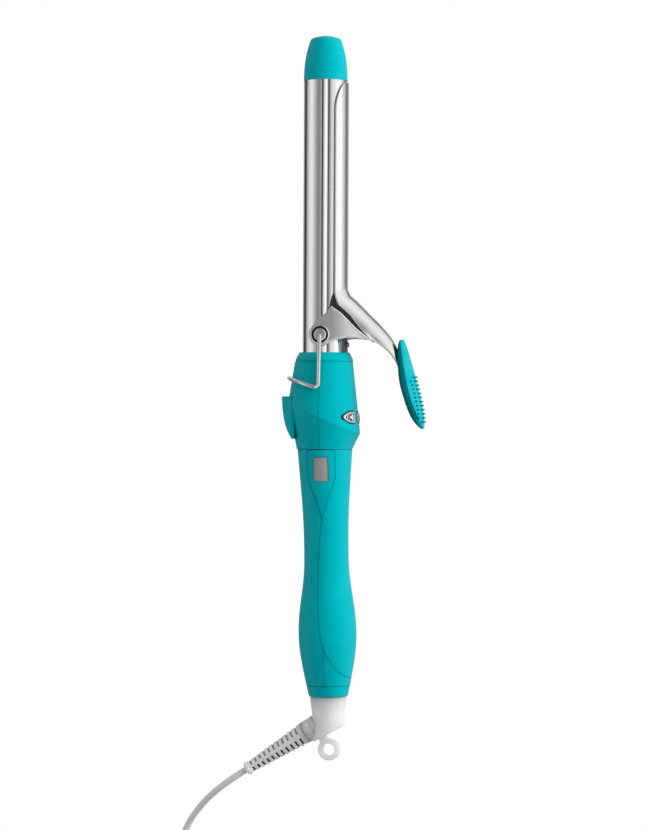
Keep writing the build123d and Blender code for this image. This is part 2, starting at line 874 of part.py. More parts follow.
with BuildPart() as stiffeners:
    with BuildSketch(handle.offset(board_height - ledge_depth - fit)):
        with Locations((0, -board_start - board_length / 2)):
            Rectangle(reach, board_length)
            Rectangle(board_width - 2 * ledge_reach, board_length, mode=Mode.SUBTRACT)
    extrude(amount=ledge_depth)
    for g, seat in screw_places:
        with BuildSketch(across_screw(g, reach)):
            Circle(pillar_radius)
        extrude(amount=2 * reach)
    for g, thickness, bore in walls:
        with BuildSketch(across_handle(g)):
            Circle(reach)
            Circle(bore, mode=Mode.SUBTRACT)
        extrude(amount=thickness)
    with BuildSketch(across(y_knee - fit)):
        Circle(reach)
        Circle(neck_radius - neck_wall, mode=Mode.SUBTRACT)
    extrude(amount=-wall_ring)
    add(grip_form(handle_wall / 2 + skin_thickness / 2 + skin_fit), mode=Mode.INTERSECT)

with BuildPart() as screw_holes:
    for g, seat in screw_places:
        with BuildSketch(across_screw(g, screw_reach + 1)):
            Circle(screw_radius + fit)
        extrude(amount=screw_reach + 1 + seat)
        with BuildSketch(across_screw(g, -seat)):
            Circle(screw_cap_radius + fit)
        extrude(amount=knee_radius)

with BuildPart() as handle_body:
    add(grip_body.part)
    add(stiffeners.part)
    add(screw_holes.part, mode=Mode.SUBTRACT)

with BuildPart() as handle_front_shell:
    add(handle_body.part)
    split(bisect_by=handle_parting, keep=Keep.TOP)
handle_front_shell.part.label = "handle_front_shell"
export_step(handle_front_shell.part, "parts/handle_front_shell.step")

with BuildPart() as handle_back_shell:
    add(handle_body.part)
    split(bisect_by=handle_parting, keep=Keep.BOTTOM)
handle_back_shell.part.label = "handle_back_shell"
export_step(handle_back_shell.part, "parts/handle_back_shell.step")
print("handle solids", len(handle_front_shell.part.solids()), len(handle_back_shell.part.solids()))

with BuildPart() as shell_screws:
    for g, seat in screw_places:
        with BuildSketch(across_screw(g, screw_reach)):
            Circle(screw_radius)
        extrude(amount=screw_reach + seat)
        with BuildSketch(across_screw(g, -seat)):
            Circle(screw_cap_radius)
        extrude(amount=screw_cap_height)
        with BuildSketch(across_screw(g, -seat - screw_cap_height)):
            Rectangle(1.6 * screw_cap_radius, 0.6)
            Rectangle(0.6, 1.6 * screw_cap_radius)
        extrude(amount=-screw_cap_height / 2, mode=Mode.SUBTRACT)
shell_screws.part.label = "shell_screws"
export_step(shell_screws.part, "parts/shell_screws.step")

# ---------------------------------------------------------------- electronics
module_width = 12.0
module_length = 17.0
# Each part under the board: its middle along the handle, width, length and height.
board_part_sizes = ((-27.0, 12.0, 13.0, 7.4), (-40.5, 8.0, 6.0, 4.0), (-45.6, 10.0, 3.0, 2.4))

with BuildPart() as circuit_board:
    with BuildSketch(handle.offset(board_height)):
        with Locations((0, -board_start - board_length / 2)):
            Rectangle(board_width, board_length)
    extrude(amount=board_thickness)
circuit_board.part.label = "circuit_board"
export_step(circuit_board.part, "parts/circuit_board.step")

with BuildPart() as board_parts:
    for g, width, length, height in board_part_sizes:
        with BuildSketch(handle.offset(board_height)):
            with Locations((0, g)):
                Rectangle(width, length)
        extrude(amount=-height)
board_parts.part.label = "board_parts"
export_step(board_parts.part, "parts/board_parts.step")

with BuildPart() as display_module:
    with BuildSketch(handle.offset(board_height + board_thickness)):
        with Locations((0, -window_start - window_length / 2)):
            Rectangle(module_width, module_length)
    extrude(amount=module_height)
display_module.part.label = "display_module"
export_step(display_module.part, "parts/display_module.step")

lead_bend = 2.2
lead_ends = ((lead_spacing / 2, -8.0), (-lead_spacing / 2, -14.0))

with BuildPart() as heater_leads:
    for w, g in lead_ends:
        y_end = y_knee + g
        with BuildLine() as lead:
            FilletPolyline(
                (axis_x, y_spreader, axis_z + w),
                (axis_x, y_end, axis_z + w),
                (axis_x, y_end, axis_z + board_height),
                radius=lead_bend,
            )
        with BuildSketch(Plane(origin=lead.line @ 0, z_dir=lead.line % 0)):
            Circle(lead_radius)
        sweep(path=lead.line)
heater_leads.part.label = "heater_leads"
export_step(heater_leads.part, "parts/heater_leads.step")

carrier_inner = 10.2
carrier_outer = 11.6
carrier_turn = 62.0
carrier_foot = 5.0
carrier_half_length = 8.0
switch_size = 5.0
switch_height = 1.9
plunger_radius = 1.2


def ring_sector(plane, inner, outer, turn_from, turn_to):
    """A sector of a ring on a plane across the iron, between two angles from the front."""
    with BuildSketch(plane) as sector:
        with BuildLine():
            rim = CenterArc((0, 0), outer, turn_from, turn_to - turn_from)
            core = CenterArc((0, 0), inner, turn_from, turn_to - turn_from)
            Line(rim @ 0, core @ 0)
            Line(rim @ 1, core @ 1)
        make_face()
    return sector.sketch


with BuildPart() as switch_carrier:
    base = across(y_button - carrier_half_length)
    extrude(ring_sector(base, carrier_inner, carrier_outer, -carrier_turn, carrier_turn),
            amount=2 * carrier_half_length)
    for turn in (-carrier_turn, carrier_turn - carrier_foot):
        extrude(ring_sector(base, carrier_outer - fit, 2 * housing_half_height, turn, turn + carrier_foot),
                amount=2 * carrier_half_length)
    add(housing_form(housing_wall + fit), mode=Mode.INTERSECT)
    for turn in button_turns.values():
        with BuildSketch(button_plane(turn, carrier_outer - 0.4)):
            Rectangle(switch_size + 2 * fit, switch_size + 2 * fit)
        extrude(amount=2, mode=Mode.SUBTRACT)
switch_carrier.part.label = "switch_carrier"
export_step(switch_carrier.part, "parts/switch_carrier.step")

with BuildPart() as button_switches:
    for turn in button_turns.values():
        with BuildSketch(button_plane(turn, carrier_outer - 0.4)):
            Rectangle(switch_size, switch_size)
        extrude(amount=switch_height)
        with BuildSketch(button_plane(turn, carrier_outer - 0.4 + switch_height)):
            Circle(plunger_radius)
        extrude(amount=button_inner - button_travel - fit - carrier_outer + 0.4 - switch_height)
button_switches.part.label = "button_switches"
export_step(button_switches.part, "parts/button_switches.step")
print("carrier solids", len(switch_carrier.part.solids()), len(button_switches.part.solids()))

# ---------------------------------------------------------------- swivel
core_radius = 3.95
core_top = block_top + 3.0
core_length = 26.0
core_bottom = core_top - core_length
ring_radius = 5.2
ring_width = 2.4
ring_pitch = 5.2
ring_places = (block_top - 3.0, block_top - 3.0 - ring_pitch)
neck_top = block_bottom - 1.0
elbow_gap = 0.3
elbow_top_radius = 10.76
elbow_waist_radius = 9.6
elbow_waist = handle_end - 10.3
elbow_low_radius = 9.3
elbow_cut = ((8.6, handle_end - 17.3), (-7.4, handle_end - 25.5))
elbow_reach = 35.8
stub_turn = 31.5
stub_through = (-11.2, handle_end - 19.4)
stub_radius = 6.35
stub_length = 3.5
hang_centre = (-0.1, handle_end - 30.9)
hang_root = (-4.9, handle_end - 21.8)
hang_neck_length = 9.5
hang_outer = 6.35
hang_bore = 3.5
hang_thickness = 3.2
hang_neck = 4.7

with BuildPart() as end_ring:
    with BuildSketch(handle):
        with BuildLine():
            g_end = handle_end
            Polyline(
                (swivel_bore, g_end),
                (ring_end_radius - 0.8, g_end),
                (ring_end_radius + 0.1, g_end + 0.9),
                (handle_end_radius, g_ring - fit),
                (handle_end_radius - handle_wall, g_ring - fit),
                (ring_end_radius - handle_wall, g_end + handle_wall),
                (swivel_bore, g_end + handle_wall),
                close=True,
            )
        make_face()
    revolve(axis=handle_axis)
end_ring.part.label = "end_ring"
export_step(end_ring.part, "parts/end_ring.step")

stub_out = -(handle.x_dir * cos(radians(stub_turn)) + handle.y_dir * sin(radians(stub_turn)))
stub_centre = handle.origin + handle.x_dir * stub_through[0] + handle.y_dir * stub_through[1]


def along_stub(t):
    """The plane across the relief's axis at t along it, its X straight up."""
    return Plane(origin=stub_centre + stub_out * t, x_dir=(0, 0, 1), z_dir=stub_out)


with BuildPart() as swivel_elbow:
    with BuildSketch(handle):
        with BuildLine():
            g_elbow = handle_end - elbow_gap
            Polyline(
                (0, neck_top),
                (swivel_neck_radius, neck_top),
                (swivel_neck_radius, flange_top),
                (swivel_flange_radius, flange_top),
                (swivel_flange_radius, flange_bottom),
                (swivel_neck_radius, flange_bottom),
                (swivel_neck_radius, g_elbow),
                (elbow_top_radius, g_elbow),
                (elbow_waist_radius, elbow_waist),
                (elbow_low_radius, elbow_cut[0][1] - 2),
                (elbow_low_radius, elbow_cut[1][1] - 3),
                (0, elbow_cut[1][1] - 3),
                close=True,
            )
        make_face()
    revolve(axis=handle_axis)
    with BuildSketch(handle):
        with BuildLine():
            slope = (elbow_cut[0][1] - elbow_cut[1][1]) / (elbow_cut[0][0] - elbow_cut[1][0])
            right_g = elbow_cut[0][1] + slope * (12 - elbow_cut[0][0])
            left_g = elbow_cut[0][1] + slope * (-16 - elbow_cut[0][0])
            low_g = handle_end - elbow_reach
            Polyline((12, right_g), (-16, left_g), (-16, low_g), (12, low_g), close=True)
        make_face()
    extrude(amount=knee_radius, both=True, mode=Mode.SUBTRACT)
    with BuildSketch(along_stub(-5)):
        Circle(stub_radius)
    extrude(amount=5 + stub_length)
    with BuildSketch(handle):
        with Locations(hang_centre):
            Circle(hang_outer)
    extrude(amount=hang_thickness / 2, both=True)
    with BuildSketch(handle):
        middle = ((hang_root[0] + hang_centre[0]) / 2, (hang_root[1] + hang_centre[1]) / 2)
        with Locations(middle):
            turn = degrees(atan2(hang_centre[1] - hang_root[1], hang_centre[0] - hang_root[0]))
            Rectangle(hang_neck_length, hang_neck, rotation=turn)
    extrude(amount=hang_thickness / 2, both=True)
    with BuildSketch(handle):
        with Locations(hang_centre):
            Circle(hang_bore)
    extrude(amount=hang_thickness, both=True, mode=Mode.SUBTRACT)
    with BuildSketch(across_handle(core_bottom)):
        Circle(core_radius + fit)
    extrude(amount=neck_top - core_bottom + 1, mode=Mode.SUBTRACT)
swivel_elbow.part.label = "swivel_elbow"
export_step(swivel_elbow.part, "parts/swivel_elbow.step")
print("elbow solids", len(swivel_elbow.part.solids()), "volume", round(swivel_elbow.part.volume, 1))

with BuildPart() as swivel_core:
    with BuildSketch(across_handle(core_bottom)):
        Circle(core_radius)
    extrude(amount=core_top - core_bottom)
swivel_core.part.label = "swivel_core"
export_step(swivel_core.part, "parts/swivel_core.step")

with BuildPart() as slip_rings:
    for g in ring_places:
        with BuildSketch(across_handle(g - ring_width / 2)):
            Circle(ring_radius)
            Circle(core_radius + fit, mode=Mode.SUBTRACT)
        extrude(amount=ring_width)
slip_rings.part.label = "slip_rings"
export_step(slip_rings.part, "parts/slip_rings.step")

with BuildPart() as contact_block:
    with BuildSketch(across_handle(block_bottom)):
        Circle(block_outer)
        Circle(ring_radius + touch, mode=Mode.SUBTRACT)
    extrude(amount=block_top - block_bottom)
contact_block.part.label = "contact_block"
export_step(contact_block.part, "parts/contact_block.step")

# ---------------------------------------------------------------- strain relief
relief_length = 41.0
relief_collar = 2.5
relief_base_radius = 6.25
relief_end_radius = 3.4
relief_collar_radius = 3.9
relief_slots = 11
slot_pitch = 3.3
slot_width = 1.3
slot_start = 2.7
bridge_share = 0.24
core_share = 0.62

with BuildPart() as strain_relief:
    with BuildSketch(along_stub(stub_length)):
        Circle(relief_base_radius)
    with BuildSketch(along_stub(stub_length + relief_length - relief_collar)):
        Circle(relief_end_radius)
    loft()
    with BuildSketch(along_stub(stub_length + relief_length - relief_collar)):
        Circle(relief_collar_radius)
    extrude(amount=relief_collar)
    for slot in range(relief_slots):
        t = slot_start + slot * slot_pitch
        taper = t / (relief_length - relief_collar)
        radius = relief_base_radius + (relief_end_radius - relief_base_radius) * taper
        with BuildSketch(along_stub(stub_length + t)):
            Circle(radius + 1)
            Circle(core_share * radius, mode=Mode.SUBTRACT)
            Rectangle(3 * radius, 2 * bridge_share * radius, mode=Mode.SUBTRACT)
        extrude(amount=slot_width, mode=Mode.SUBTRACT)
strain_relief.part.label = "strain_relief"
export_step(strain_relief.part, "parts/strain_relief.step")
relief_end = along_stub(stub_length + relief_length).origin
print("relief end", round(relief_end.X, 2), round(relief_end.Y, 2), round(relief_end.Z, 2))

# ---------------------------------------------------------------- stand
# The wire's route, from the pivot's top, down the leg and round the back to the middle.
leg_length = 31.1
leg_start_width = 17.0
leg_end_width = 20.0
foot_rise = 16.5
foot_radius = 22.3
first_bend = 1.6
leg_bend = 2.4

wire_points = [
    (axis_x, y_pivot, boss_depth + touch),
    (axis_x, y_pivot, leg_start_width),
    (axis_x, y_pivot - leg_length, leg_end_width),
]
for step in range(4):
    turn = radians(22.5 + 45 * step)
    back = foot_radius * sin(turn)
    level = y_pivot - leg_length + back * tan(radians(foot_rise))
    wire_points.append((axis_x - back, level, foot_radius * cos(turn)))
wire_points += [
    (axis_x, y_pivot - leg_length, -leg_end_width),
    (axis_x, y_pivot, -leg_start_width),
    (axis_x, y_pivot, -boss_depth - touch),
]
wire_points = [(x, y, axis_z + w) for x, y, w in wire_points]
wire_bends = [first_bend, leg_bend, 13.0, 20.0, 20.0, 13.0, leg_bend, first_bend]

with BuildPart() as stand_wire:
    with BuildLine() as wire_path:
        FilletPolyline(*wire_points, radius=wire_bends)
    with BuildSketch(Plane(origin=wire_path.line @ 0, z_dir=wire_path.line % 0)):
        Circle(wire_radius)
    sweep(path=wire_path.line)
stand_wire.part.label = "stand_wire"
export_step(stand_wire.part, "parts/stand_wire.step")
print("stand", stand_wire.part.bounding_box())

# ---------------------------------------------------------------- lever spring
bracket_turn = 25.0
bracket_thickness = 1.0
bracket_top = 0.85
bracket_tab_reach = 22.0
bracket_tab_half_width = 4.5
rivet_radius = 1.3
spring_reach = 18.0
spring_radius = 3.0
spring_wire = 0.5
spring_turns = 5
spring_length = 15.6

with BuildPart() as spring_bracket:
    bracket_foot = ring_sector(
        across(y_collar + 2 * fit), barrel_radius + fit, barrel_radius + bracket_thickness,
        -bracket_turn, bracket_turn,
    )
    extrude(bracket_foot, amount=pivot_height - bracket_top - 2 * fit)
    with BuildSketch(across(y_pivot - bracket_top - bracket_thickness)):
        with Locations(((bracket_tab_reach + barrel_radius + 2 * fit) / 2, 0)):
            Rectangle(bracket_tab_reach - barrel_radius - 2 * fit, 2 * bracket_tab_half_width)
    extrude(amount=bracket_thickness)
    for w in (-bracket_tab_half_width / 2, bracket_tab_half_width / 2):
        with BuildSketch(front_view.offset(barrel_radius + bracket_thickness / 2)):
            with Locations((y_collar + (pivot_height - bracket_top) / 2, w)):
                Circle(rivet_radius)
        extrude(amount=bracket_thickness)
    with BuildSketch(across(y_collar)):
        Circle(barrel_radius + fit)
    extrude(amount=pivot_height, mode=Mode.SUBTRACT)
spring_bracket.part.label = "spring_bracket"
export_step(spring_bracket.part, "parts/spring_bracket.step")
print("bracket solids", len(spring_bracket.part.solids()))

spring_axis = Plane(
    origin=(axis_x + spring_reach, y_pivot - bracket_top + spring_wire + fit, axis_z),
    x_dir=(1, 0, 0),
    z_dir=(0, 1, 0),
)

with BuildPart() as lever_spring:
    coil_pitch = spring_length / spring_turns
    coil_line = spring_axis * Helix(pitch=coil_pitch, height=spring_length, radius=spring_radius)
    with BuildSketch(Plane(origin=coil_line @ 0, z_dir=coil_line % 0)):
        Circle(spring_wire)
    sweep(path=coil_line)
lever_spring.part.label = "lever_spring"
export_step(lever_spring.part, "parts/lever_spring.step")
print("spring solids", len(lever_spring.part.solids()), "volume", round(lever_spring.part.volume, 2))

# ---------------------------------------------------------------- cord
cord_radius = 1.9
tie_thickness = 0.7
tie_width = 8.0
coil_turns_across = 4
coil_layers = 4
coil_radius = 21.0
coil_base = tie_thickness + 2 * fit
coil_low = coil_base + cord_radius
coil_centre = (-70.9, -289.0)
coil_outer_turn = coil_radius + (coil_turns_across - 1) * cord_radius
coil_high = coil_low + 2 * (coil_layers - 1) * cord_radius

# The cord's route from the strain relief down to the coil, and from the coil to the plug.
cord_start = relief_end + stub_out * fit
cord_points = [
    (cord_start.X, cord_start.Y, cord_start.Z),
    (-63.1, -220.9, 21.4),
    (-78.3, -233.7, 13.0),
    (-90.7, -249.6, 4.0),
    (-96.9, -269.5, coil_low),
    (coil_centre[0] - coil_outer_turn, coil_centre[1], coil_low),
]
tail_points = [
    (coil_centre[0], coil_centre[1] - coil_outer_turn, coil_high),
    (-57.4, -316.1, 11.6),
    (-43.0, -316.9, 6.9),
    (-28.5, -316.9, 6.9),
]


def tube(points, radius):
    """A round tube along straight runs joined by arcs as large as the runs allow."""
    corners = []
    for before, corner, after in zip(points, points[1:], points[2:]):
        back = Vector(*corner) - Vector(*before)
        ahead = Vector(*after) - Vector(*corner)
        turn = radians(back.get_angle(ahead))
        corners.append(0.45 * min(back.length, ahead.length) / tan(turn / 2))
    print("tube radii", [round(corner) for corner in corners])
    with BuildPart() as piece:
        with BuildLine() as path:
            FilletPolyline(*points, radius=corners)
        with BuildSketch(Plane(origin=path.line @ 0, z_dir=path.line % 0)):
            Circle(radius)
        sweep(path=path.line)
    full = pi * radius**2 * path.wire().length
    print("tube length", round(path.wire().length, 1), "volume ratio", round(piece.part.volume / full, 4))
    return piece.part


with BuildPart() as cord:
    add(tube(cord_points, cord_radius))
cord.part.label = "cord"
export_step(cord.part, "parts/cord.step")

with BuildPart() as cord_tail:
    add(tube(tail_points, cord_radius))
cord_tail.part.label = "cord_tail"
export_step(cord_tail.part, "parts/cord_tail.step")

coil_axis = Axis((coil_centre[0], coil_centre[1], 0), (0, 0, 1))


def across_coil(turn):
    """The upright plane through the coil's middle at an angle from +X, its X outward."""
    a = radians(turn)
    centre = (coil_centre[0], coil_centre[1], coil_base + coil_layers * cord_radius)
    return Plane(origin=centre, x_dir=(cos(a), sin(a), 0), z_dir=(sin(a), -cos(a), 0))


bundle_width = 2 * coil_turns_across * cord_radius
bundle_height = 2 * coil_layers * cord_radius

with BuildPart() as cord_coil:
    with BuildSketch(across_coil(0)):
        with Locations((coil_radius, 0)):
            RectangleRounded(bundle_width, bundle_height, cord_radius)
    revolve(axis=coil_axis)
cord_coil.part.label = "cord_coil"
export_step(cord_coil.part, "parts/cord_coil.step")

tie_turn = degrees(tie_width / coil_radius)
tie_place = 35.0

with BuildPart() as cord_tie:
    with BuildSketch(across_coil(tie_place)):
        with Locations((coil_radius, 0)):
            RectangleRounded(
                bundle_width + 2 * fit + 2 * tie_thickness,
                bundle_height + 2 * fit + 2 * tie_thickness,
                cord_radius + tie_thickness,
            )
            RectangleRounded(
                bundle_width + 2 * fit, bundle_height + 2 * fit, cord_radius, mode=Mode.SUBTRACT
            )
    revolve(axis=coil_axis, revolution_arc=tie_turn)
cord_tie.part.label = "cord_tie"
export_step(cord_tie.part, "parts/cord_tie.step")

plug_length = 36.0
plug_width = 35.3
plug_thickness = 13.7
plug_end = Vector(*tail_points[-1])
pin_radius = 2.0
pin_length = 19.0
pin_spacing = 18.6
plug_face_length = 2.2
# Share of the way along the plug's taper from the cord, width and thickness.
plug_stations = ((0.0, 10.0, 9.4), (0.36, 13.5, 10.8), (0.68, 24.0, 12.6), (1.0, plug_width, plug_thickness))


def across_plug(x):
    """The plane across the plug at x along it, its X across the pins."""
    origin = plug_end + Vector(x, 0, 0)
    return Plane(origin=origin, x_dir=(0, 1, 0), z_dir=(1, 0, 0))


with BuildPart() as plug_body:
    for share, width, thickness in plug_stations:
        with BuildSketch(across_plug(share * (plug_length - plug_face_length))):
            RectangleRounded(width, thickness, 0.4 * thickness)
    loft(ruled=True)
    extrude(plug_body.faces().sort_by(Axis.X)[-1], amount=plug_face_length)
plug_body.part.label = "plug_body"
export_step(plug_body.part, "parts/plug_body.step")

with BuildPart() as plug_pins:
    with BuildSketch(across_plug(plug_length)):
        with Locations((-pin_spacing / 2, 0), (pin_spacing / 2, 0)):
            Circle(pin_radius)
    extrude(amount=pin_length)
    fillet(plug_pins.faces().sort_by(Axis.X)[-2:].edges(), radius=1.2)
plug_pins.part.label = "plug_pins"
export_step(plug_pins.part, "parts/plug_pins.step")
print("plug", plug_body.part.bounding_box(), plug_pins.part.bounding_box())
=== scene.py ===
from math import asin, cos, degrees, hypot, pi, radians, sin

import bmesh
import bpy
from mathutils import Matrix, Vector
from mathutils.bvhtree import BVHTree
from mathutils.geometry import delaunay_2d_cdt


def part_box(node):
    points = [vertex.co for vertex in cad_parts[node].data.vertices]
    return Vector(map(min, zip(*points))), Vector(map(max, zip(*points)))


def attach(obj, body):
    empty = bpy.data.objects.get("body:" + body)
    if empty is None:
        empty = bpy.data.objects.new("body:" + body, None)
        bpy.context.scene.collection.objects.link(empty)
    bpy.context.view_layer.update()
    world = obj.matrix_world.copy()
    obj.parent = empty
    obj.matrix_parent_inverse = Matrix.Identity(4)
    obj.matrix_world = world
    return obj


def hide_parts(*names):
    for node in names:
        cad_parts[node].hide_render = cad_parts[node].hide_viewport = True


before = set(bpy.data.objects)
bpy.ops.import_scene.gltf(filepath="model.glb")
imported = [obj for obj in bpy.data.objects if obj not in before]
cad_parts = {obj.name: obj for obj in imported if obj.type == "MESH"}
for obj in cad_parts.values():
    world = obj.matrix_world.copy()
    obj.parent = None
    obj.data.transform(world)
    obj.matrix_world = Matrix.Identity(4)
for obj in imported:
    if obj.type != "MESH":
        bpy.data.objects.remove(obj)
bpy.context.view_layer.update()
MM = 0.001

# ---------------------------------------------------------------- camera
# The iron lies on its side and is seen from above, rolled ten degrees towards the lever,
# through a long lens, so that it stays almost free of perspective.
barrel_low, barrel_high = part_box("barrel_tube")
axis_x = (barrel_low.x + barrel_high.x) / 2
axis_z = (barrel_low.z + barrel_high.z) / 2
view_roll = radians(10)
view_lean = 0.0049
view_distance = 1.8
view_height = 0.484
view_centre_y = -0.0052
view_shift = 0.0005
sensor_height = 24

toward = Vector((sin(view_roll), 0, cos(view_roll)))
right = Vector((cos(view_roll), 0, -sin(view_roll)))
along = Vector((0, 1, 0))
image_x = (right + along * view_lean).normalized()
image_y = (along - right * view_lean).normalized()
look_at = Vector((axis_x, view_centre_y, axis_z)) + right * view_shift


def link_object(name, data):
    """A new object in the scene that shows the given data."""
    piece = bpy.data.objects.new(name, data)
    bpy.context.collection.objects.link(piece)
    return piece


camera_data = bpy.data.cameras.new("camera")
camera_data.sensor_fit = "VERTICAL"
camera_data.sensor_height = sensor_height
camera_data.lens = sensor_height * view_distance / view_height
camera = link_object("camera", camera_data)
camera.matrix_world = Matrix.Translation(look_at + toward * view_distance) @ Matrix(
    (image_x, image_y, toward)
).transposed().to_4x4()
bpy.context.scene.camera = camera

# ---------------------------------------------------------------- cord
# A light grey mains lead: it leaves the strain relief, sinks to the table, and its spare length
# is wound in layers of flat spirals, out to in and back, before it reaches the plug.
cord_radius = 1.9 * MM
coil_layers = 4
coil_turns = 3
points_per_turn = 16
climb_share = 0.25
cord_route = (
    (-50.49, -212.84, 21.4),
    (-63.1, -220.9, 21.4),
    (-78.3, -233.7, 13.0),
    (-90.7, -249.6, 4.0),
    (-96.9, -269.5, 2.7),
)
tail_route = (
    (-57.4, -316.1, 11.6),
    (-43.0, -316.9, 6.9),
    (-28.5, -316.9, 6.9),
)


def new_material(name):
    """A material with only its output node."""
    material = bpy.data.materials.new(name)
    material.use_nodes = True
    nodes = material.node_tree.nodes
    nodes.clear()
    output = nodes.new("ShaderNodeOutputMaterial")
    return material, nodes, material.node_tree.links, output


def set_inputs(node, values):
    """Sets a node's inputs by their names."""
    for name, value in values.items():
        node.inputs[name].default_value = value


def worked(nodes, links, kind, operation, first, second=None):
    """The value of a math node that takes one or two sources."""
    node = nodes.new(kind)
    node.operation = operation
    links.new(first, node.inputs[0])
    if isinstance(second, (float, tuple)):
        node.inputs[1].default_value = second
    elif second:
        links.new(second, node.inputs[1])
    return node.outputs["Value"]


def noise(nodes, links, source, scale, detail):
    """A noise texture at a scale per metre, read at the given coordinates."""
    texture = nodes.new("ShaderNodeTexNoise")
    set_inputs(texture, {"Scale": scale, "Detail": detail, "Roughness": 0.55})
    links.new(source, texture.inputs["Vector"])
    return texture.outputs["Fac"]


def ramp(nodes, links, source, low, high, colours):
    """A two-stop colour ramp between low and high."""
    node = nodes.new("ShaderNodeValToRGB")
    for stop, place, colour in zip(node.color_ramp.elements, (low, high), colours):
        stop.position = place
        stop.color = (*colour, 1)
    links.new(source, node.inputs["Fac"])
    return node.outputs["Color"]


def spread(nodes, links, source, low, high, start=0.0, end=1.0):
    """The source's run from start to end, mapped to low and high."""
    node = nodes.new("ShaderNodeMapRange")
    set_inputs(node, {"From Min": start, "From Max": end, "To Min": low, "To Max": high})
    links.new(source, node.inputs["Value"])
    return node.outputs["Result"]


def mixed(nodes, links, share, first, second, blend="MIX"):
    """Two colours, each from a socket or given plainly, mixed by a share."""
    node = nodes.new("ShaderNodeMixRGB")
    node.blend_type = blend
    links.new(share, node.inputs["Fac"])
    for name, colour in (("Color1", first), ("Color2", second)):
        if isinstance(colour, tuple):
            node.inputs[name].default_value = (*colour, 1)
        else:
            links.new(colour, node.inputs[name])
    return node.outputs["Color"]


def coordinates(nodes, stretch=(1, 1, 1)):
    """Object coordinates, scaled along each axis."""
    source = nodes.new("ShaderNodeTexCoord")
    mapping = nodes.new("ShaderNodeMapping")
    mapping.inputs["Scale"].default_value = stretch
    nodes.id_data.links.new(source.outputs["Object"], mapping.inputs["Vector"])
    return mapping.outputs["Vector"]


def rounded_edges(nodes, edge, samples):
    """Facing directions that round every edge off, to a radius in millimetres."""
    node = nodes.new("ShaderNodeBevel")
    node.samples = samples
    node.inputs["Radius"].default_value = edge * MM
    return node.outputs["Normal"]


def moulded(name, colour, dark, roughness, edge=0.3, seam_shade=0.0, gloss=0.5, tint=(1, 1, 1),
            soft=0.0, soft_reach=0.012, grain=0.02, grain_scale=2600, flank_shade=None):
    """Moulded plastic or rubber: fine grain, slight colour drift, rounded edges, and painted shade
    along edges and seams. Faces that look straight up or down may take a flank colour of painted shade."""
    material, nodes, links, output = new_material(name)
    shader = nodes.new("ShaderNodeBsdfPrincipled")
    set_inputs(shader, {
        "Specular IOR Level": gloss, "Specular Tint": (*tint, 1), "Subsurface Weight": soft,
        "Subsurface Radius": (1, 1, 1), "Subsurface Scale": soft_reach,
    })
    spot = coordinates(nodes)
    drift = noise(nodes, links, spot, 90, 3.0)
    shade = ramp(nodes, links, drift, 0.3, 0.7, (dark, colour))
    rounded = rounded_edges(nodes, edge, 8)
    geometry = nodes.new("ShaderNodeNewGeometry")
    # Painted shade: the base colour darkens along every edge and seam, where the rounded and the true
    # facing differ.
    agreement = worked(
        nodes, links, "ShaderNodeVectorMath", "DOT_PRODUCT", rounded, geometry.outputs["Normal"]
    )
    seam_shade_share = ramp(nodes, links, agreement, 0.90, 0.99, ((seam_shade, seam_shade, seam_shade), (0, 0, 0)))
    # Painted shade: faces that look straight up or down take the darker flank colour.
    if flank_shade:
        facing = nodes.new("ShaderNodeSeparateXYZ")
        links.new(geometry.outputs["True Normal"], facing.inputs["Vector"])
        upright = worked(nodes, links, "ShaderNodeMath", "ABSOLUTE", facing.outputs["Z"])
        flank_shade_share = spread(nodes, links, upright, 0, 1, 0.86, 0.93)
        shade = mixed(nodes, links, flank_shade_share, shade, flank_shade)
    seam_shaded = mixed(nodes, links, seam_shade_share, shade, (0.08, 0.12, 0.13), "MULTIPLY")
    links.new(seam_shaded, shader.inputs["Base Color"])
    fine = noise(nodes, links, spot, 700, 2.0)
    links.new(
        spread(nodes, links, fine, roughness - 0.05, roughness + 0.05), shader.inputs["Roughness"]
    )
    bump = nodes.new("ShaderNodeBump")
    set_inputs(bump, {"Strength": 0.35, "Distance": grain * MM})
    links.new(noise(nodes, links, spot, grain_scale, 2.0), bump.inputs["Height"])
    links.new(rounded, bump.inputs["Normal"])
    links.new(bump.outputs["Normal"], shader.inputs["Normal"])
    links.new(shader.outputs["BSDF"], output.inputs["Surface"])
    return material


coil_low, coil_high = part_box("cord_coil")
coil_centre = Vector(((coil_low.x + coil_high.x) / 2, (coil_low.y + coil_high.y) / 2, 0))
layer_pitch = 2 * cord_radius
outer_turn = (coil_high.x - coil_low.x) / 2 - cord_radius
first_layer = coil_low.z + cord_radius

cord_points = [Vector(p) * MM for p in cord_route]
for layer in range(coil_layers):
    for step in range(coil_turns * points_per_turn):
        turned = step / points_per_turn
        inward = turned if layer % 2 == 0 else coil_turns - turned
        radius = outer_turn - inward * layer_pitch
        climb = max(0.0, (turned - coil_turns + climb_share) / climb_share)
        if layer == coil_layers - 1:
            climb = 0.0
        height = first_layer + (layer + climb) * layer_pitch
        angle = pi + 2 * pi * (layer * coil_turns + turned)
        cord_points.append(coil_centre + Vector((radius * cos(angle), radius * sin(angle), height)))
last_height = first_layer + (coil_layers - 1) * layer_pitch
for step in range(points_per_turn // 4 + 1):
    angle = pi + 2 * pi * step / points_per_turn
    cord_points.append(
        coil_centre + Vector((outer_turn * cos(angle), outer_turn * sin(angle), last_height))
    )
cord_points += [Vector(p) * MM for p in tail_route]

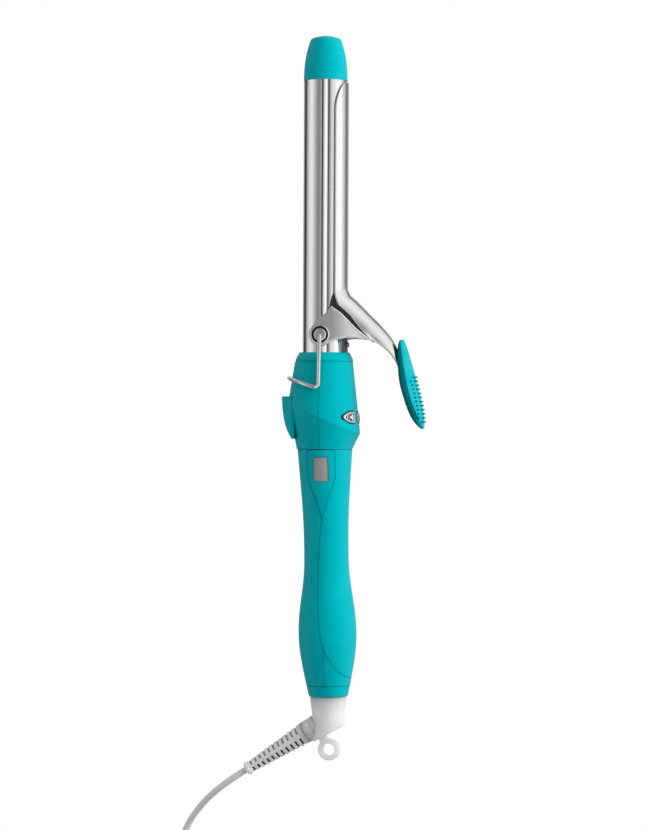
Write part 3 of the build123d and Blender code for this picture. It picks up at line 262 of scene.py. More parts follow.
cord_white = moulded("cord_white", (0.66, 0.66, 0.67), (0.62, 0.62, 0.64), 0.4, edge=0.2)
cord_curve = bpy.data.curves.new("cord_lead", "CURVE")
cord_curve.dimensions = "3D"
cord_curve.bevel_depth = cord_radius
cord_curve.bevel_resolution = 5
cord_curve.resolution_u = 6
spline = cord_curve.splines.new("NURBS")
spline.points.add(len(cord_points) - 1)
for point, place in zip(spline.points, cord_points):
    point.co = (*place, 1)
spline.order_u = 3
spline.use_endpoint_u = True
cord_curve.materials.append(cord_white)
cord_lead = link_object("cord_lead", cord_curve)
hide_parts("cord", "cord_coil", "cord_tail")
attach(cord_lead, "swivel")

# ---------------------------------------------------------------- floor
# A plain pale matte table under the iron and its cord. It is white to the camera and unseen in
# reflections, and it takes part in shadows and bounced light.
floor_reach = 3.0
floor_level = -0.0005


def link_mesh(name, vertices, faces, *materials, kinds=()):
    """A new smooth mesh object with its materials. Kinds give each face its material's number."""
    mesh = bpy.data.meshes.new(name)
    mesh.from_pydata([tuple(v) for v in vertices], [], faces)
    for material in materials:
        mesh.materials.append(material)
    mesh.shade_smooth()
    for polygon, kind in zip(mesh.polygons, kinds):
        polygon.material_index = kind
    return link_object(name, mesh)


def mixed_shader(nodes, links, share, first, second):
    """Two shaders mixed by a share."""
    node = nodes.new("ShaderNodeMixShader")
    for source, socket in zip((share, first, second), node.inputs):
        links.new(source, socket)
    return node.outputs["Shader"]


def floor_material():
    """White to the camera, clear to mirrors, and plain matte for shadows and bounced light."""
    material, nodes, links, output = new_material("floor_pale")
    diffuse = nodes.new("ShaderNodeBsdfDiffuse")
    diffuse.inputs["Color"].default_value = (0.8, 0.8, 0.8, 1)
    glow = nodes.new("ShaderNodeEmission")
    glow.inputs["Color"].default_value = (1, 1, 1, 1)
    clear = nodes.new("ShaderNodeBsdfTransparent")
    path = nodes.new("ShaderNodeLightPath")
    to_camera, to_mirror = path.outputs["Is Camera Ray"], path.outputs["Is Glossy Ray"]
    seen = mixed_shader(nodes, links, to_camera, diffuse.outputs["BSDF"], glow.outputs["Emission"])
    gloss = mixed_shader(nodes, links, to_mirror, seen, clear.outputs["BSDF"])
    links.new(gloss, output.inputs["Surface"])
    return material


floor = link_mesh(
    "floor",
    [(x * floor_reach, y * floor_reach, floor_level) for x, y in ((-1, -1), (1, -1), (1, 1), (-1, 1))],
    [(0, 1, 2, 3)],
    floor_material(),
)

# ---------------------------------------------------------------- studio light
# The light that polished parts mirror: a grey level for each angle from straight above, towards
# the lever. The levels were matched to wanted reflections and stand for no lamps or boxes.
# Parts that face the tip mirror the second row, and everything else gets a plain soft wash.
studio = (
    (-180, 0.80), (-145, 0.35), (-132, 0.25), (-124, 0.02), (-115, 0.02), (-108, 0.15), (-98, 0.45),
    (-83, 0.72), (-69, 0.88), (-58, 0.76), (-46, 0.48), (-30, 0.24), (-20, 0.27), (-11, 0.42),
    (-8, 0.03), (-4, 0.04), (0, 0.35), (5, 0.75), (14, 1.20), (20, 0.80), (24, 0.10), (30, 0.08),
    (36, 0.42), (44, 0.75), (60, 0.85), (68, 1.05), (97, 1.10), (104, 0.78), (116, 0.62),
    (133, 0.14), (145, 0.24), (180, 0.80),
)
tip_studio = (
    (-180, 0.80), (-120, 0.40), (-60, 0.30), (-20, 0.30), (-8, 0.18), (2, 0.14), (10, 0.22),
    (20, 0.42), (34, 0.64), (50, 0.82), (68, 0.94), (90, 0.92), (112, 0.82), (132, 0.66),
    (143, 0.22), (150, 0.03), (156, 0.20), (166, 0.74), (180, 0.85),
)
wash_level = 0.58
wash_lean = (-0.20, 0.22, 0.0)
key_place = Vector((1.42, 0.55, 0.22))
key_aim = Vector((axis_x, 0.05, axis_z))
key_width = 0.5
key_length = 1.6
key_power = 48


def band_row(nodes, links, turn, stops):
    """A colour ramp of one row's grey levels."""
    bands = nodes.new("ShaderNodeValToRGB")
    elements = bands.color_ramp.elements
    while len(elements) < len(stops):
        elements.new(0.5)
    for element, (place, level) in zip(elements, stops):
        element.position = (place + 180) / 360
        element.color = (level, level, level * 1.01, 1)
    links.new(turn, bands.inputs["Fac"])
    return bands.outputs["Color"]


def build_world():
    """White to the camera, banded to mirrors, and a soft wash for everything else."""
    world = bpy.data.worlds.new("studio")
    bpy.context.scene.world = world
    world.use_nodes = True
    nodes = world.node_tree.nodes
    links = world.node_tree.links
    nodes.clear()
    output = nodes.new("ShaderNodeOutputWorld")
    source = nodes.new("ShaderNodeTexCoord")
    parts = nodes.new("ShaderNodeSeparateXYZ")
    links.new(source.outputs["Generated"], parts.inputs["Vector"])
    angle = worked(
        nodes, links, "ShaderNodeMath", "ARCTAN2", parts.outputs["X"], parts.outputs["Z"]
    )
    turn = spread(nodes, links, angle, 0, 1, -pi, pi)
    tip_share = spread(nodes, links, parts.outputs["Y"], 0, 1, 0.12, 0.30)
    side_row = band_row(nodes, links, turn, studio)
    tip_row = band_row(nodes, links, turn, tip_studio)
    lean = worked(
        nodes, links, "ShaderNodeVectorMath", "DOT_PRODUCT", source.outputs["Generated"], wash_lean
    )
    wash = spread(nodes, links, lean, wash_level - 1, wash_level + 1, -1, 1)
    mirror_light = nodes.new("ShaderNodeBackground")
    wash_light = nodes.new("ShaderNodeBackground")
    plain = nodes.new("ShaderNodeBackground")
    plain.inputs["Color"].default_value = (1, 1, 1, 1)
    links.new(mixed(nodes, links, tip_share, side_row, tip_row), mirror_light.inputs["Color"])
    links.new(wash, wash_light.inputs["Color"])
    path = nodes.new("ShaderNodeLightPath")
    to_camera, to_mirror = path.outputs["Is Camera Ray"], path.outputs["Is Glossy Ray"]
    unseen_light = mixed_shader(
        nodes, links, to_mirror, wash_light.outputs["Background"], mirror_light.outputs["Background"]
    )
    light = mixed_shader(nodes, links, to_camera, unseen_light, plain.outputs["Background"])
    links.new(light, output.inputs["Surface"])


build_world()

key_data = bpy.data.lights.new("key_right", "AREA")
key_data.shape = "RECTANGLE"
key_data.size = key_width
key_data.size_y = key_length
key_data.energy = key_power
key = link_object("key_right", key_data)
key.location = key_place
key.rotation_euler = (key_aim - key_place).to_track_quat("-Z", "Y").to_euler()
key.visible_glossy = False

bpy.context.scene.view_settings.view_transform = "Standard"

# ---------------------------------------------------------------- barrel
# A polished chromed tube, 25.4 mm across, drawn along its length, so what little wear it has
# runs along it too. It is the body that the clamp and the stand turn on.
chrome = (0.92, 0.92, 0.925)


def polished(name, colour, roughness, streak=(1, 1, 1), wear=0.03, edge=0.15):
    """Bright metal with faint streaks along the way it was polished or drawn."""
    material, nodes, links, output = new_material(name)
    shader = nodes.new("ShaderNodeBsdfPrincipled")
    shader.inputs["Metallic"].default_value = 1.0
    spot = coordinates(nodes, streak)
    streaks = noise(nodes, links, spot, 1500, 5.0)
    dull = [0.95 * c for c in colour]
    tint = ramp(nodes, links, streaks, 0.25, 0.75, (dull, colour))
    links.new(tint, shader.inputs["Base Color"])
    worn = noise(nodes, links, spot, 500, 3.0)
    links.new(spread(nodes, links, worn, roughness, roughness + wear), shader.inputs["Roughness"])
    links.new(rounded_edges(nodes, edge, 6), shader.inputs["Normal"])
    links.new(shader.outputs["BSDF"], output.inputs["Surface"])
    return material


def dress(material, *names):
    """Gives CAD nodes their finish."""
    for name in names:
        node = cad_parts[name]
        node.data.materials.clear()
        node.data.materials.append(material)


dress(polished("barrel_chrome", chrome, 0.02, (1, 0.02, 1), 0.02), "barrel_tube")

# ---------------------------------------------------------------- cap
# The cool tip: a hollow moulded cap in matte teal, with rounded shoulders and a shallow dome,
# pushed into the barrel's end.
teal = (0.0, 0.355, 0.40)
teal_dark = (0.0, 0.335, 0.38)
teal_gloss = (0.03, 1, 1)

cap_teal = moulded(
    "cap_teal", teal, teal_dark, 0.5, edge=0.8, seam_shade=0.1, gloss=0.25, tint=teal_gloss, grain=0.03
)
dress(cap_teal, "tip_cap")

# ---------------------------------------------------------------- clamp
# The spoon that holds the hair against the barrel, pressed from one chromed sheet with its
# lever. A flat web stands on each side of the lever and ends in the ear that the pivot goes
# through; a fold lies where web and lever meet, painted dark as shade. The sheet's cut edges
# are painted dark too, as shade of the gap beneath them.
screws_low, screws_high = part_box("pivot_screws")
y_pivot = (screws_low.y + screws_high.y) / 2 / MM
spoon_end_gap = 1.4
y_spoon_end = barrel_high.y / MM - spoon_end_gap
sheet = 0.9
spoon_radius = 13.75
spoon_half_angle = radians(56)
tongue_half_width = 4.5
tongue_length = 16.0
bend_rise = 26.5
tongue_steps = 14
straight_steps = 14
station_steps = 7
across_steps = 28
# The first row of faces in the lever's own finish, just past the bend.
lever_row = tongue_steps + straight_steps + 1
# Crown point from the pivot, slope, section radius and half angle, from the bend to the pad.
lever_stations = (
    (13.75, 26.5, 90, 13.75, 56),
    (15.3, 23.6, 55, 12.9, 66),
    (18.8, 20.4, 45, 11.6, 80),
    (25.9, 13.3, 44, 10.6, 90),
    (33.4, 5.8, 47, 10.2, 92),
    (39.6, -1.7, 56, 8.6, 80),
    (43.7, -9.4, 66, 8.0, 58),
    (46.4, -17.4, 75, 9.0, 38),
    (48.9, -28.4, 78, 12.0, 22),
)
ear_radius = 6.8
ear_hole = 2.6
web_level = 14.5
web_fall = 0.0056
web_fall_start = 2.5
web_roll = 0.25
web_roll_width = 0.7
web_grid = 0.9
web_edge_margin = 0.45
web_hole_margin = 0.5
web_curve_steps = 5
crease_steps = 6
web_upper = ((-5.9, 3.4), (-3.0, 7.3), (1.2, 10.8), (3.9, 13.6), (5.4, 15.8), (6.6, 16.6))
web_crease = (
    (6.6, 16.6), (9.0, 14.8), (12.6, 12.2), (16.8, 7.9), (20.5, 4.1), (24.0, 1.2), (27.4, -1.4),
    (31.0, -4.0),
)
fold_foot = (
    (7.2, 24.0), (9.2, 19.2), (13.2, 15.1), (16.8, 11.8), (20.3, 7.6), (23.8, 3.5), (26.9, 0.4),
    (30.9, -3.2),
)
web_lower = ((31.0, -4.1), (27.0, -3.0), (17.2, -2.0), (10.2, -2.9), (5.05, -4.55))
# The fold's steps from the web's crease: share of the way to its foot, and how far down.
fold_steps = ((0.0, 0.0), (0.3, 0.7), (0.7, 1.8), (1.0, 3.2), (1.25, 7.0))
# The share of the fold's rows painted near black as shade; the rest take the cut edge's lighter painted
# shade.
fold_shade_share = 0.8


def smooth_run(points, steps):
    """A smooth run through the points, with a number of steps between each two."""
    run = []
    last = len(points) - 1
    for i in range(last):
        p = [points[max(0, min(last, i + k))] for k in (-1, 0, 1, 2)]
        for s in range(steps):
            t = s / steps
            run.append(tuple(
                0.5 * (2 * b + (c - a) * t + (2 * a - 5 * b + 4 * c - d) * t * t
                       + (3 * b - 3 * c + d - a) * t ** 3)
                for a, b, c, d in zip(*p)
            ))
    run.append(tuple(points[-1]))
    return run


def on_iron(u, rise, level):
    """A point u towards the lever, rise above the pivot and level over the axis, in metres."""
    return Vector((axis_x + u * MM, (y_pivot + rise) * MM, axis_z + level * MM))


def leaf_rows():
    """The pressed sheet's sections, from the tongue's end down to the lever's end."""
    corner = y_spoon_end - tongue_length - y_pivot
    shoulder = spoon_radius * sin(spoon_half_angle) - tongue_half_width
    rows = []
    for step in range(tongue_steps + 1):
        a = pi / 2 * (1 - step / tongue_steps)
        half = asin((tongue_half_width + shoulder * cos(a)) / spoon_radius)
        rows.append((spoon_radius, corner + tongue_length * sin(a), 90.0, spoon_radius, degrees(half)))
    for step in range(1, straight_steps):
        rise = corner + (bend_rise - corner) * step / straight_steps
        rows.append((spoon_radius, rise, 90.0, spoon_radius, degrees(spoon_half_angle)))
    rows += smooth_run(lever_stations, station_steps)
    grid = []
    for u, rise, steep, radius, half in rows:
        ox, oy = cos(radians(90 - steep)), sin(radians(90 - steep))
        line = []
        for i in range(across_steps + 1):
            a = radians(half) * (2 * i / across_steps - 1)
            back = radius * (1 - cos(a))
            line.append(on_iron(u - ox * back, rise - oy * back, radius * sin(a)))
        grid.append(line)
    return grid


def web_height(u, edge):
    """The web's level: flat at the ear, falling towards the lever, rolled over at its edge."""
    fall = web_fall * max(0.0, u - web_fall_start) ** 2
    roll = web_roll * max(0.0, 1 - edge / web_roll_width) ** 2
    return web_level - fall - roll


def arc(radius, degrees_range):
    """Points round the pivot at the given whole degrees."""
    return [(radius * cos(radians(t)), radius * sin(radians(t))) for t in degrees_range]


def web_mesh():
    """One web's outer face and the fold of painted shade on its lever side, as points and faces."""
    ring = arc(ear_radius, range(-52, -211, -8))
    hole = arc(ear_hole, range(0, 360, 20))
    crease = smooth_run(web_crease, crease_steps)
    outline = smooth_run(web_upper, web_curve_steps)[:-1] + crease
    outline += smooth_run(web_lower, web_curve_steps) + ring
    count = len(outline)

    def edge_distance(u, v):
        closest = 1e9
        for (ax, ay), (bx, by) in zip(outline, outline[1:] + outline[:1]):
            dx, dy = bx - ax, by - ay
            t = max(0.0, min(1.0, ((u - ax) * dx + (v - ay) * dy) / (dx * dx + dy * dy + 1e-9)))
            closest = min(closest, hypot(u - ax - t * dx, v - ay - t * dy))
        return closest

    def inside(u, v):
        crossings = 0
        for (ax, ay), (bx, by) in zip(outline, outline[1:] + outline[:1]):
            if (ay > v) != (by > v) and u < (bx - ax) * (v - ay) / (by - ay) + ax:
                crossings += 1
        return crossings % 2 == 1

    points = outline + hole
    for i in range(-9, 36):
        for j in range(-9, 27):
            u, v = i * web_grid, j * web_grid
            off_hole = hypot(u, v) > ear_hole + web_hole_margin
            if off_hole and inside(u, v) and edge_distance(u, v) > web_edge_margin:
                points.append((u, v))
    edges = [(i, (i + 1) % count) for i in range(count)]
    edges += [(count + i, count + (i + 1) % len(hole)) for i in range(len(hole))]
    flat, _, faces, _, _, _ = delaunay_2d_cdt([Vector(p) for p in points], edges, [], 0, 1e-5)
    kept = []
    for face in faces:
        u = sum(flat[i].x for i in face) / 3
        v = sum(flat[i].y for i in face) / 3
        if inside(u, v) and hypot(u, v) > ear_hole:
            kept.append(tuple(face))
    places = [(p.x, p.y, web_height(p.x, edge_distance(p.x, p.y))) for p in flat]
    fold = []
    for (u, v), (foot_u, foot_v) in zip(crease, smooth_run(fold_foot, crease_steps)):
        start = web_height(u, 0)
        fold.append([
            (u + (foot_u - u) * share, v + (foot_v - v) * share, start - down)
            for share, down in fold_steps
        ])
    return places, kept, fold


def build_clamp():
    """The clamp as one sheet: spoon and lever, two webs, and the fold beside each. Each face's
    kind is its place in the list of finishes: spoon, fold (painted shade), web, lever, cut edge
    (painted shade)."""
    spoon_kind, fold_shade_kind, web_kind, lever_kind, edge_shade_kind = range(5)
    vertices, faces, kinds = [], [], []
    grid = leaf_rows()
    width = len(grid[0])
    for line in grid:
        vertices += line
    for r in range(len(grid) - 1):
        for i in range(width - 1):
            a = r * width + i
            faces.append((a, a + 1, a + width + 1, a + width))
            kinds.append(spoon_kind if r < lever_row else lever_kind)
    places, kept, fold = web_mesh()
    for sign in (1, -1):
        base = len(vertices)
        vertices += [on_iron(u, v, sign * w) for u, v, w in places]
        for face in kept:
            turned = face if sign > 0 else face[::-1]
            faces.append(tuple(base + i for i in turned))
            kinds.append(web_kind)
        base = len(vertices)
        steps = len(fold[0])
        for row in fold:
            vertices += [on_iron(u, v, sign * w) for u, v, w in row]
        for r in range(len(fold) - 1):
            for i in range(steps - 1):
                a = base + r * steps + i
                quad = (a, a + 1, a + steps + 1, a + steps)
                faces.append(quad if sign < 0 else quad[::-1])
                kinds.append(fold_shade_kind if r < fold_shade_share * len(fold) else edge_shade_kind)
    return vertices, faces, kinds


clamp_chrome = polished("clamp_chrome", chrome, 0.06, (1, 0.05, 1), 0.05)
# The fold and the sheet's cut edges get dark chrome: painted shade, in the crease and in the gap under the
# edges.
fold_shade_chrome = polished("fold_shade_chrome", (0.035, 0.035, 0.037), 0.35)
web_chrome = polished("web_chrome", (0.90, 0.90, 0.905), 0.27, (1, 0.3, 1), 0.06)
lever_chrome = polished("lever_chrome", chrome, 0.15, (1, 0.3, 1), 0.05)
edge_shade_chrome = polished("edge_shade_chrome", (0.28, 0.28, 0.285), 0.3)
clamp_vertices, clamp_faces, clamp_kinds = build_clamp()
clamp_finishes = [clamp_chrome, fold_shade_chrome, web_chrome, lever_chrome, edge_shade_chrome]
clamp_leaf = link_mesh("clamp_leaf", clamp_vertices, clamp_faces, *clamp_finishes, kinds=clamp_kinds)
wall = clamp_leaf.modifiers.new("wall", "SOLIDIFY")
wall.thickness = sheet * MM
wall.offset = -1
wall.material_offset_rim = clamp_finishes.index(edge_shade_chrome)
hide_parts("clamp_spoon")
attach(clamp_leaf, "clamp")

# ---------------------------------------------------------------- thumb pad
# A soft grip moulded in two parts over the lever's end: a bright face with rows of small cones
# that stop the thumb slipping, and a darker base round the lever.
# The pad's flat sides, which look up or down, take a darker flank colour: painted shade.
pad_teal = moulded(
    "pad_teal", (0.01, 0.34, 0.385), (0.0, 0.32, 0.365), 0.5, edge=0.9, seam_shade=0.05, gloss=0.25,
    tint=teal_gloss, grain=0.03, flank_shade=(0.0, 0.15, 0.17),
)
base_teal = moulded(
    "base_teal", (0.0, 0.085, 0.10), (0.0, 0.07, 0.085), 0.6, edge=0.5, gloss=0.1, grain=0.03
)
dress(pad_teal, "thumb_pad")
dress(base_teal, "pad_base")
bump_rows = 12
bump_pitch = 2.35
bump_start = -24.4
bump_columns = (-7.0, -3.5, 0.0, 3.5, 7.0)
bump_end_reach = 0.62
bump_radius = 0.8
bump_top_share = 0.35
bump_height = 1.2
bump_sink = 0.1
bump_least_facing = 0.55


def node_surface(name):
    """A CAD node's surface, to place things on."""
    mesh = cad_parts[name].data
    return BVHTree.FromPolygons([v.co for v in mesh.vertices], [p.vertices[:] for p in mesh.polygons])


def stud_tree(material):
    """Cones on the points of a mesh, each along its point's own facing direction."""
    tree = bpy.data.node_groups.new("studs", "GeometryNodeTree")
    face = tree.interface
    face.new_socket("Geometry", in_out="OUTPUT", socket_type="NodeSocketGeometry")
    face.new_socket("Geometry", in_out="INPUT", socket_type="NodeSocketGeometry")
    for name in ("Foot radius", "Height"):
        face.new_socket(name, in_out="INPUT", socket_type="NodeSocketFloat")
    nodes, links = tree.nodes, tree.links
    start = nodes.new("NodeGroupInput")
    end = nodes.new("NodeGroupOutput")
    cone = nodes.new("GeometryNodeMeshCone")
    cone.fill_type = "NGON"
    set_inputs(cone, {"Vertices": 10, "Side Segments": 2})
    top = worked(
        nodes, links, "ShaderNodeMath", "MULTIPLY", start.outputs["Foot radius"], bump_top_share
    )
    links.new(top, cone.inputs["Radius Top"])
    links.new(start.outputs["Foot radius"], cone.inputs["Radius Bottom"])
    links.new(start.outputs["Height"], cone.inputs["Depth"])
    facing = nodes.new("GeometryNodeInputNamedAttribute")
    facing.data_type = "FLOAT_VECTOR"
    facing.inputs["Name"].default_value = "facing"
    stand = nodes.new("FunctionNodeAlignRotationToVector")
    stand.axis = "Z"
    links.new(facing.outputs["Attribute"], stand.inputs["Vector"])
    studs = nodes.new("GeometryNodeInstanceOnPoints")
    links.new(start.outputs["Geometry"], studs.inputs["Points"])
    links.new(cone.outputs["Mesh"], studs.inputs["Instance"])
    links.new(stand.outputs["Rotation"], studs.inputs["Rotation"])
    real = nodes.new("GeometryNodeRealizeInstances")
    paint = nodes.new("GeometryNodeSetMaterial")
    paint.inputs["Material"].default_value = material
    links.new(studs.outputs["Instances"], real.inputs["Geometry"])
    links.new(real.outputs["Geometry"], paint.inputs["Geometry"])
    links.new(paint.outputs["Geometry"], end.inputs["Geometry"])
    return tree


def grow(name, points, facings, tree, sizes):
    """Runs a tree on placed points and returns the result as a plain mesh piece."""
    seed = link_mesh(name + "_points", points, [])
    facing = seed.data.attributes.new("facing", "FLOAT_VECTOR", "POINT")
    facing.data.foreach_set("vector", [c for f in facings for c in f])
    modifier = seed.modifiers.new("grow", "NODES")
    modifier.node_group = tree
    for socket in tree.interface.items_tree:
        if socket.item_type == "SOCKET" and socket.in_out == "INPUT" and socket.name in sizes:
            modifier[socket.identifier] = sizes[socket.name]
    shape = seed.evaluated_get(bpy.context.evaluated_depsgraph_get())
    mesh = bpy.data.meshes.new_from_object(shape)
    bpy.data.objects.remove(seed)
    return link_object(name, mesh)


pad_surface = node_surface("thumb_pad")
bump_points, bump_facings = [], []
for row in range(bump_rows):
    for column in bump_columns:
        reach = bump_end_reach if row in (0, bump_rows - 1) else 1.0
        begin = on_iron(90, bump_start - row * bump_pitch, column * reach)
        hit, facing, _, _ = pad_surface.ray_cast(begin, Vector((-1, 0, 0)))
        if hit is not None and facing.x > bump_least_facing:
            bump_points.append(hit - facing * bump_sink * MM)
            bump_facings.append(facing)
pad_bumps = grow(
    "pad_bumps", bump_points, bump_facings, stud_tree(pad_teal),
    {"Foot radius": bump_radius * MM, "Height": bump_height * MM},
)
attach(pad_bumps, "clamp")

# ---------------------------------------------------------------- pivot
# A shouldered screw on each side holds the clamp's ears to the barrel. Its head is a turned
# ring round a hollow middle, where the stand's wire hooks in.
head_base = 14.55
head_profile = (
    (2.55, 0.0), (5.3, 0.0), (5.5, 0.2), (5.5, 0.9), (5.3, 1.25), (4.9, 1.4), (4.5, 1.3),
    (4.2, 0.85), (3.9, 0.7), (3.6, 0.85), (3.4, 1.2), (3.0, 1.35), (2.6, 1.2), (2.2, 0.6),
    (1.75, -0.6), (1.45, -2.4), (1.3, -2.6),
)
# The steps of the profile that lie in the groove and in the hollow, which stay dark.
head_dark_steps = (5, 6, 7, 8, 12, 13, 14, 15)
head_sides = 48


def turned_rings():
    """Both screw heads, turned from one profile."""
    count = head_sides
    vertices, faces, dark = [], [], []
    for sign in (1, -1):
        base = len(vertices)
        for radius, height in head_profile:
            for i in range(count):
                a = 2 * pi * i / count
                vertices.append(on_iron(radius * cos(a), radius * sin(a), sign * (head_base + height)))
        for r in range(len(head_profile) - 1):
            for i in range(count):
                j = (i + 1) % count
                quad = (base + r * count + i, base + r * count + j,
                        base + (r + 1) * count + j, base + (r + 1) * count + i)
                faces.append(quad if sign > 0 else quad[::-1])
                dark.append(int(r in head_dark_steps))
    return vertices, faces, dark


screw_steel = polished("screw_steel", (0.88, 0.88, 0.885), 0.06)
shade_steel = polished("shade_steel", (0.02, 0.02, 0.022), 0.4)
head_vertices, head_faces, head_dark = turned_rings()
pivot_heads = link_mesh(
    "pivot_heads", head_vertices, head_faces, screw_steel, shade_steel, kinds=head_dark
)
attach(pivot_heads, "handle")
dress(screw_steel, "pivot_screws", "pivot_bosses")

# ---------------------------------------------------------------- stand wire
# A bright steel wire bent into a foot: both ends hook into the pivot's screws, and it swings
# out to hold the hot barrel off the table.
dress(polished("wire_steel", (0.9, 0.9, 0.9), 0.07, edge=0.02), "stand_wire")

# ---------------------------------------------------------------- lever spring
# A coil spring under the lever closes the clamp. It stands on a small bracket of bent steel
# that is fixed to the barrel.
# Both get darkened steel, which is painted shade: they sit in the shade under the lever.
dress(polished("bracket_steel", (0.22, 0.22, 0.225), 0.3), "spring_bracket")
dress(polished("spring_steel", (0.35, 0.35, 0.355), 0.3), "lever_spring")

# ---------------------------------------------------------------- housing and collar
# Two moulded shells in teal, screwed together along the middle, and the ring that closes them
# round the barrel. The seams between the parts, and their edges, get thin lines of painted shade.
body_teal = moulded(
    "body_teal", teal, teal_dark, 0.45, edge=0.45, seam_shade=0.95, gloss=0.25, tint=teal_gloss
)
dress(body_teal, "collar_ring", "housing_front_shell", "housing_back_shell")

# ---------------------------------------------------------------- buttons
# Three silvered buttons on the housing's lever side: power in the middle and a leaf-shaped one
# at each side. Each sits in a ring of painted shade for its gap and carries a plain raised mark.
gap_shade_width = 1.0
gap_shade_lap = 0.15
gap_shade_rise = 0.12
mark_half = 0.42
mark_share = 0.75
mark_shift = 0.3
mark_rise = 0.12
ring_half = 0.3
ring_share = 0.66
ring_shift = 0.4
# Across a strip: share of its width and share of its full height. The sides dip in.
strip_section = ((0, -0.3), (0.04, 0.6), (0.25, 1.0), (0.75, 1.0), (0.96, 0.6), (1, -0.3))
strip_reach = 1.6
button_level = 18.6
button_turn = 33.0
arrow_height = 3.2
arrow_reach = 5.4
power_radius = 3.1
y_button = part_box("housing_front_shell")[0].y + button_level * MM


def leaf_outline(sign):
    """A rounded arrowhead that points away from the middle, as (across, along) points."""
    near, tip = -sign * arrow_reach * 0.82, sign * arrow_reach
    bulge = sign * arrow_reach * 0.16
    low, high = (near, -arrow_height * 0.8), (near, arrow_height * 0.8)
    corners = (low, (near + sign * 0.1, 0), high, (near + sign * 0.9, arrow_height),
               (bulge, arrow_height * 0.86), (sign * arrow_reach * 0.75, arrow_height * 0.36),
               (tip, 0), (sign * arrow_reach * 0.75, -arrow_height * 0.36),
               (bulge, -arrow_height * 0.86), (near + sign * 0.9, -arrow_height), low)
    return smooth_run(corners, 5)[:-1]


def round_outline(radius, count=40, start=0.0, sweep=360.0):
    """Points of a circle or an arc about the button's middle."""
    turns = [radians(start + sweep * i / count) for i in range(count)]
    return [(radius * cos(a), radius * sin(a)) for a in turns]


def widened(path, width, closed):
    """Two lines, width to each side of a path's own line."""
    sides = ([], [])
    last = len(path) - 1
    for i, (x, y) in enumerate(path):
        ax, ay = path[i - 1] if i or closed else path[0]
        bx, by = path[(i + 1) % len(path)] if i < last or closed else path[last]
        size = hypot(bx - ax, by - ay) or 1
        nx, ny = (by - ay) / size, -(bx - ax) / size
        sides[0].append((x - nx * width, y - ny * width))
        sides[1].append((x + nx * width, y + ny * width))
    return sides


def laid_strip(name, surface, turn, path, width, rise, closed, material):
    """A strip of one material laid on a surface, over a path drawn round a button's middle."""
    out = Vector((cos(radians(turn)), 0, sin(radians(turn))))
    side = Vector((-out.z, 0, out.x))
    middle = Vector((axis_x, y_button, axis_z))
    inner, outer = widened(path, width, closed)

    def spot_at(i, share):
        (ax, ay), (bx, by) = inner[i], outer[i]
        x, y = ax + (bx - ax) * share, ay + (by - ay) * share
        return middle + side * x * MM + along * y * MM

    lines = []
    for share, height in strip_section:
        line = []
        for i in range(len(path)):
            hit, _, _, _ = surface.ray_cast(spot_at(i, share) + out * 30 * MM, -out)
            line.append(hit + out * height * rise * MM if hit else None)
        lines.append(line)
    count = len(path)
    levels = [(p - middle).dot(out) for line in lines for p in line if p]
    usual = sorted(levels)[len(levels) // 2]
    vertices = []
    for line, (share, _) in zip(lines, strip_section):
        for i, p in enumerate(line):
            if p is None or abs((p - middle).dot(out) - usual) > strip_reach * MM:
                p = spot_at(i, share) + out * usual
            vertices.append(p)
    faces = []
    for r in range(len(lines) - 1):
        for i in range(count if closed else count - 1):
            j = (i + 1) % count
            faces.append((r * count + i, r * count + j, (r + 1) * count + j, (r + 1) * count + i))
    strip = link_mesh(name, vertices, faces, material)
    work = bmesh.new()
    work.from_mesh(strip.data)
    facing = sum((f.normal for f in work.faces), Vector())
    if facing.dot(out) < 0:
        bmesh.ops.reverse_faces(work, faces=work.faces)
    work.to_mesh(strip.data)
    work.free()
    return strip


def joined(name, pieces):
    """One piece made of several."""
    work = bmesh.new()
    for piece in pieces:
        work.from_mesh(piece.data)
    mesh = bpy.data.meshes.new(name)
    mesh.materials.append(pieces[0].data.materials[0])
    work.to_mesh(mesh)
    work.free()
    for piece in pieces:
        bpy.data.objects.remove(piece)
    mesh.shade_smooth()
    return link_object(name, mesh)


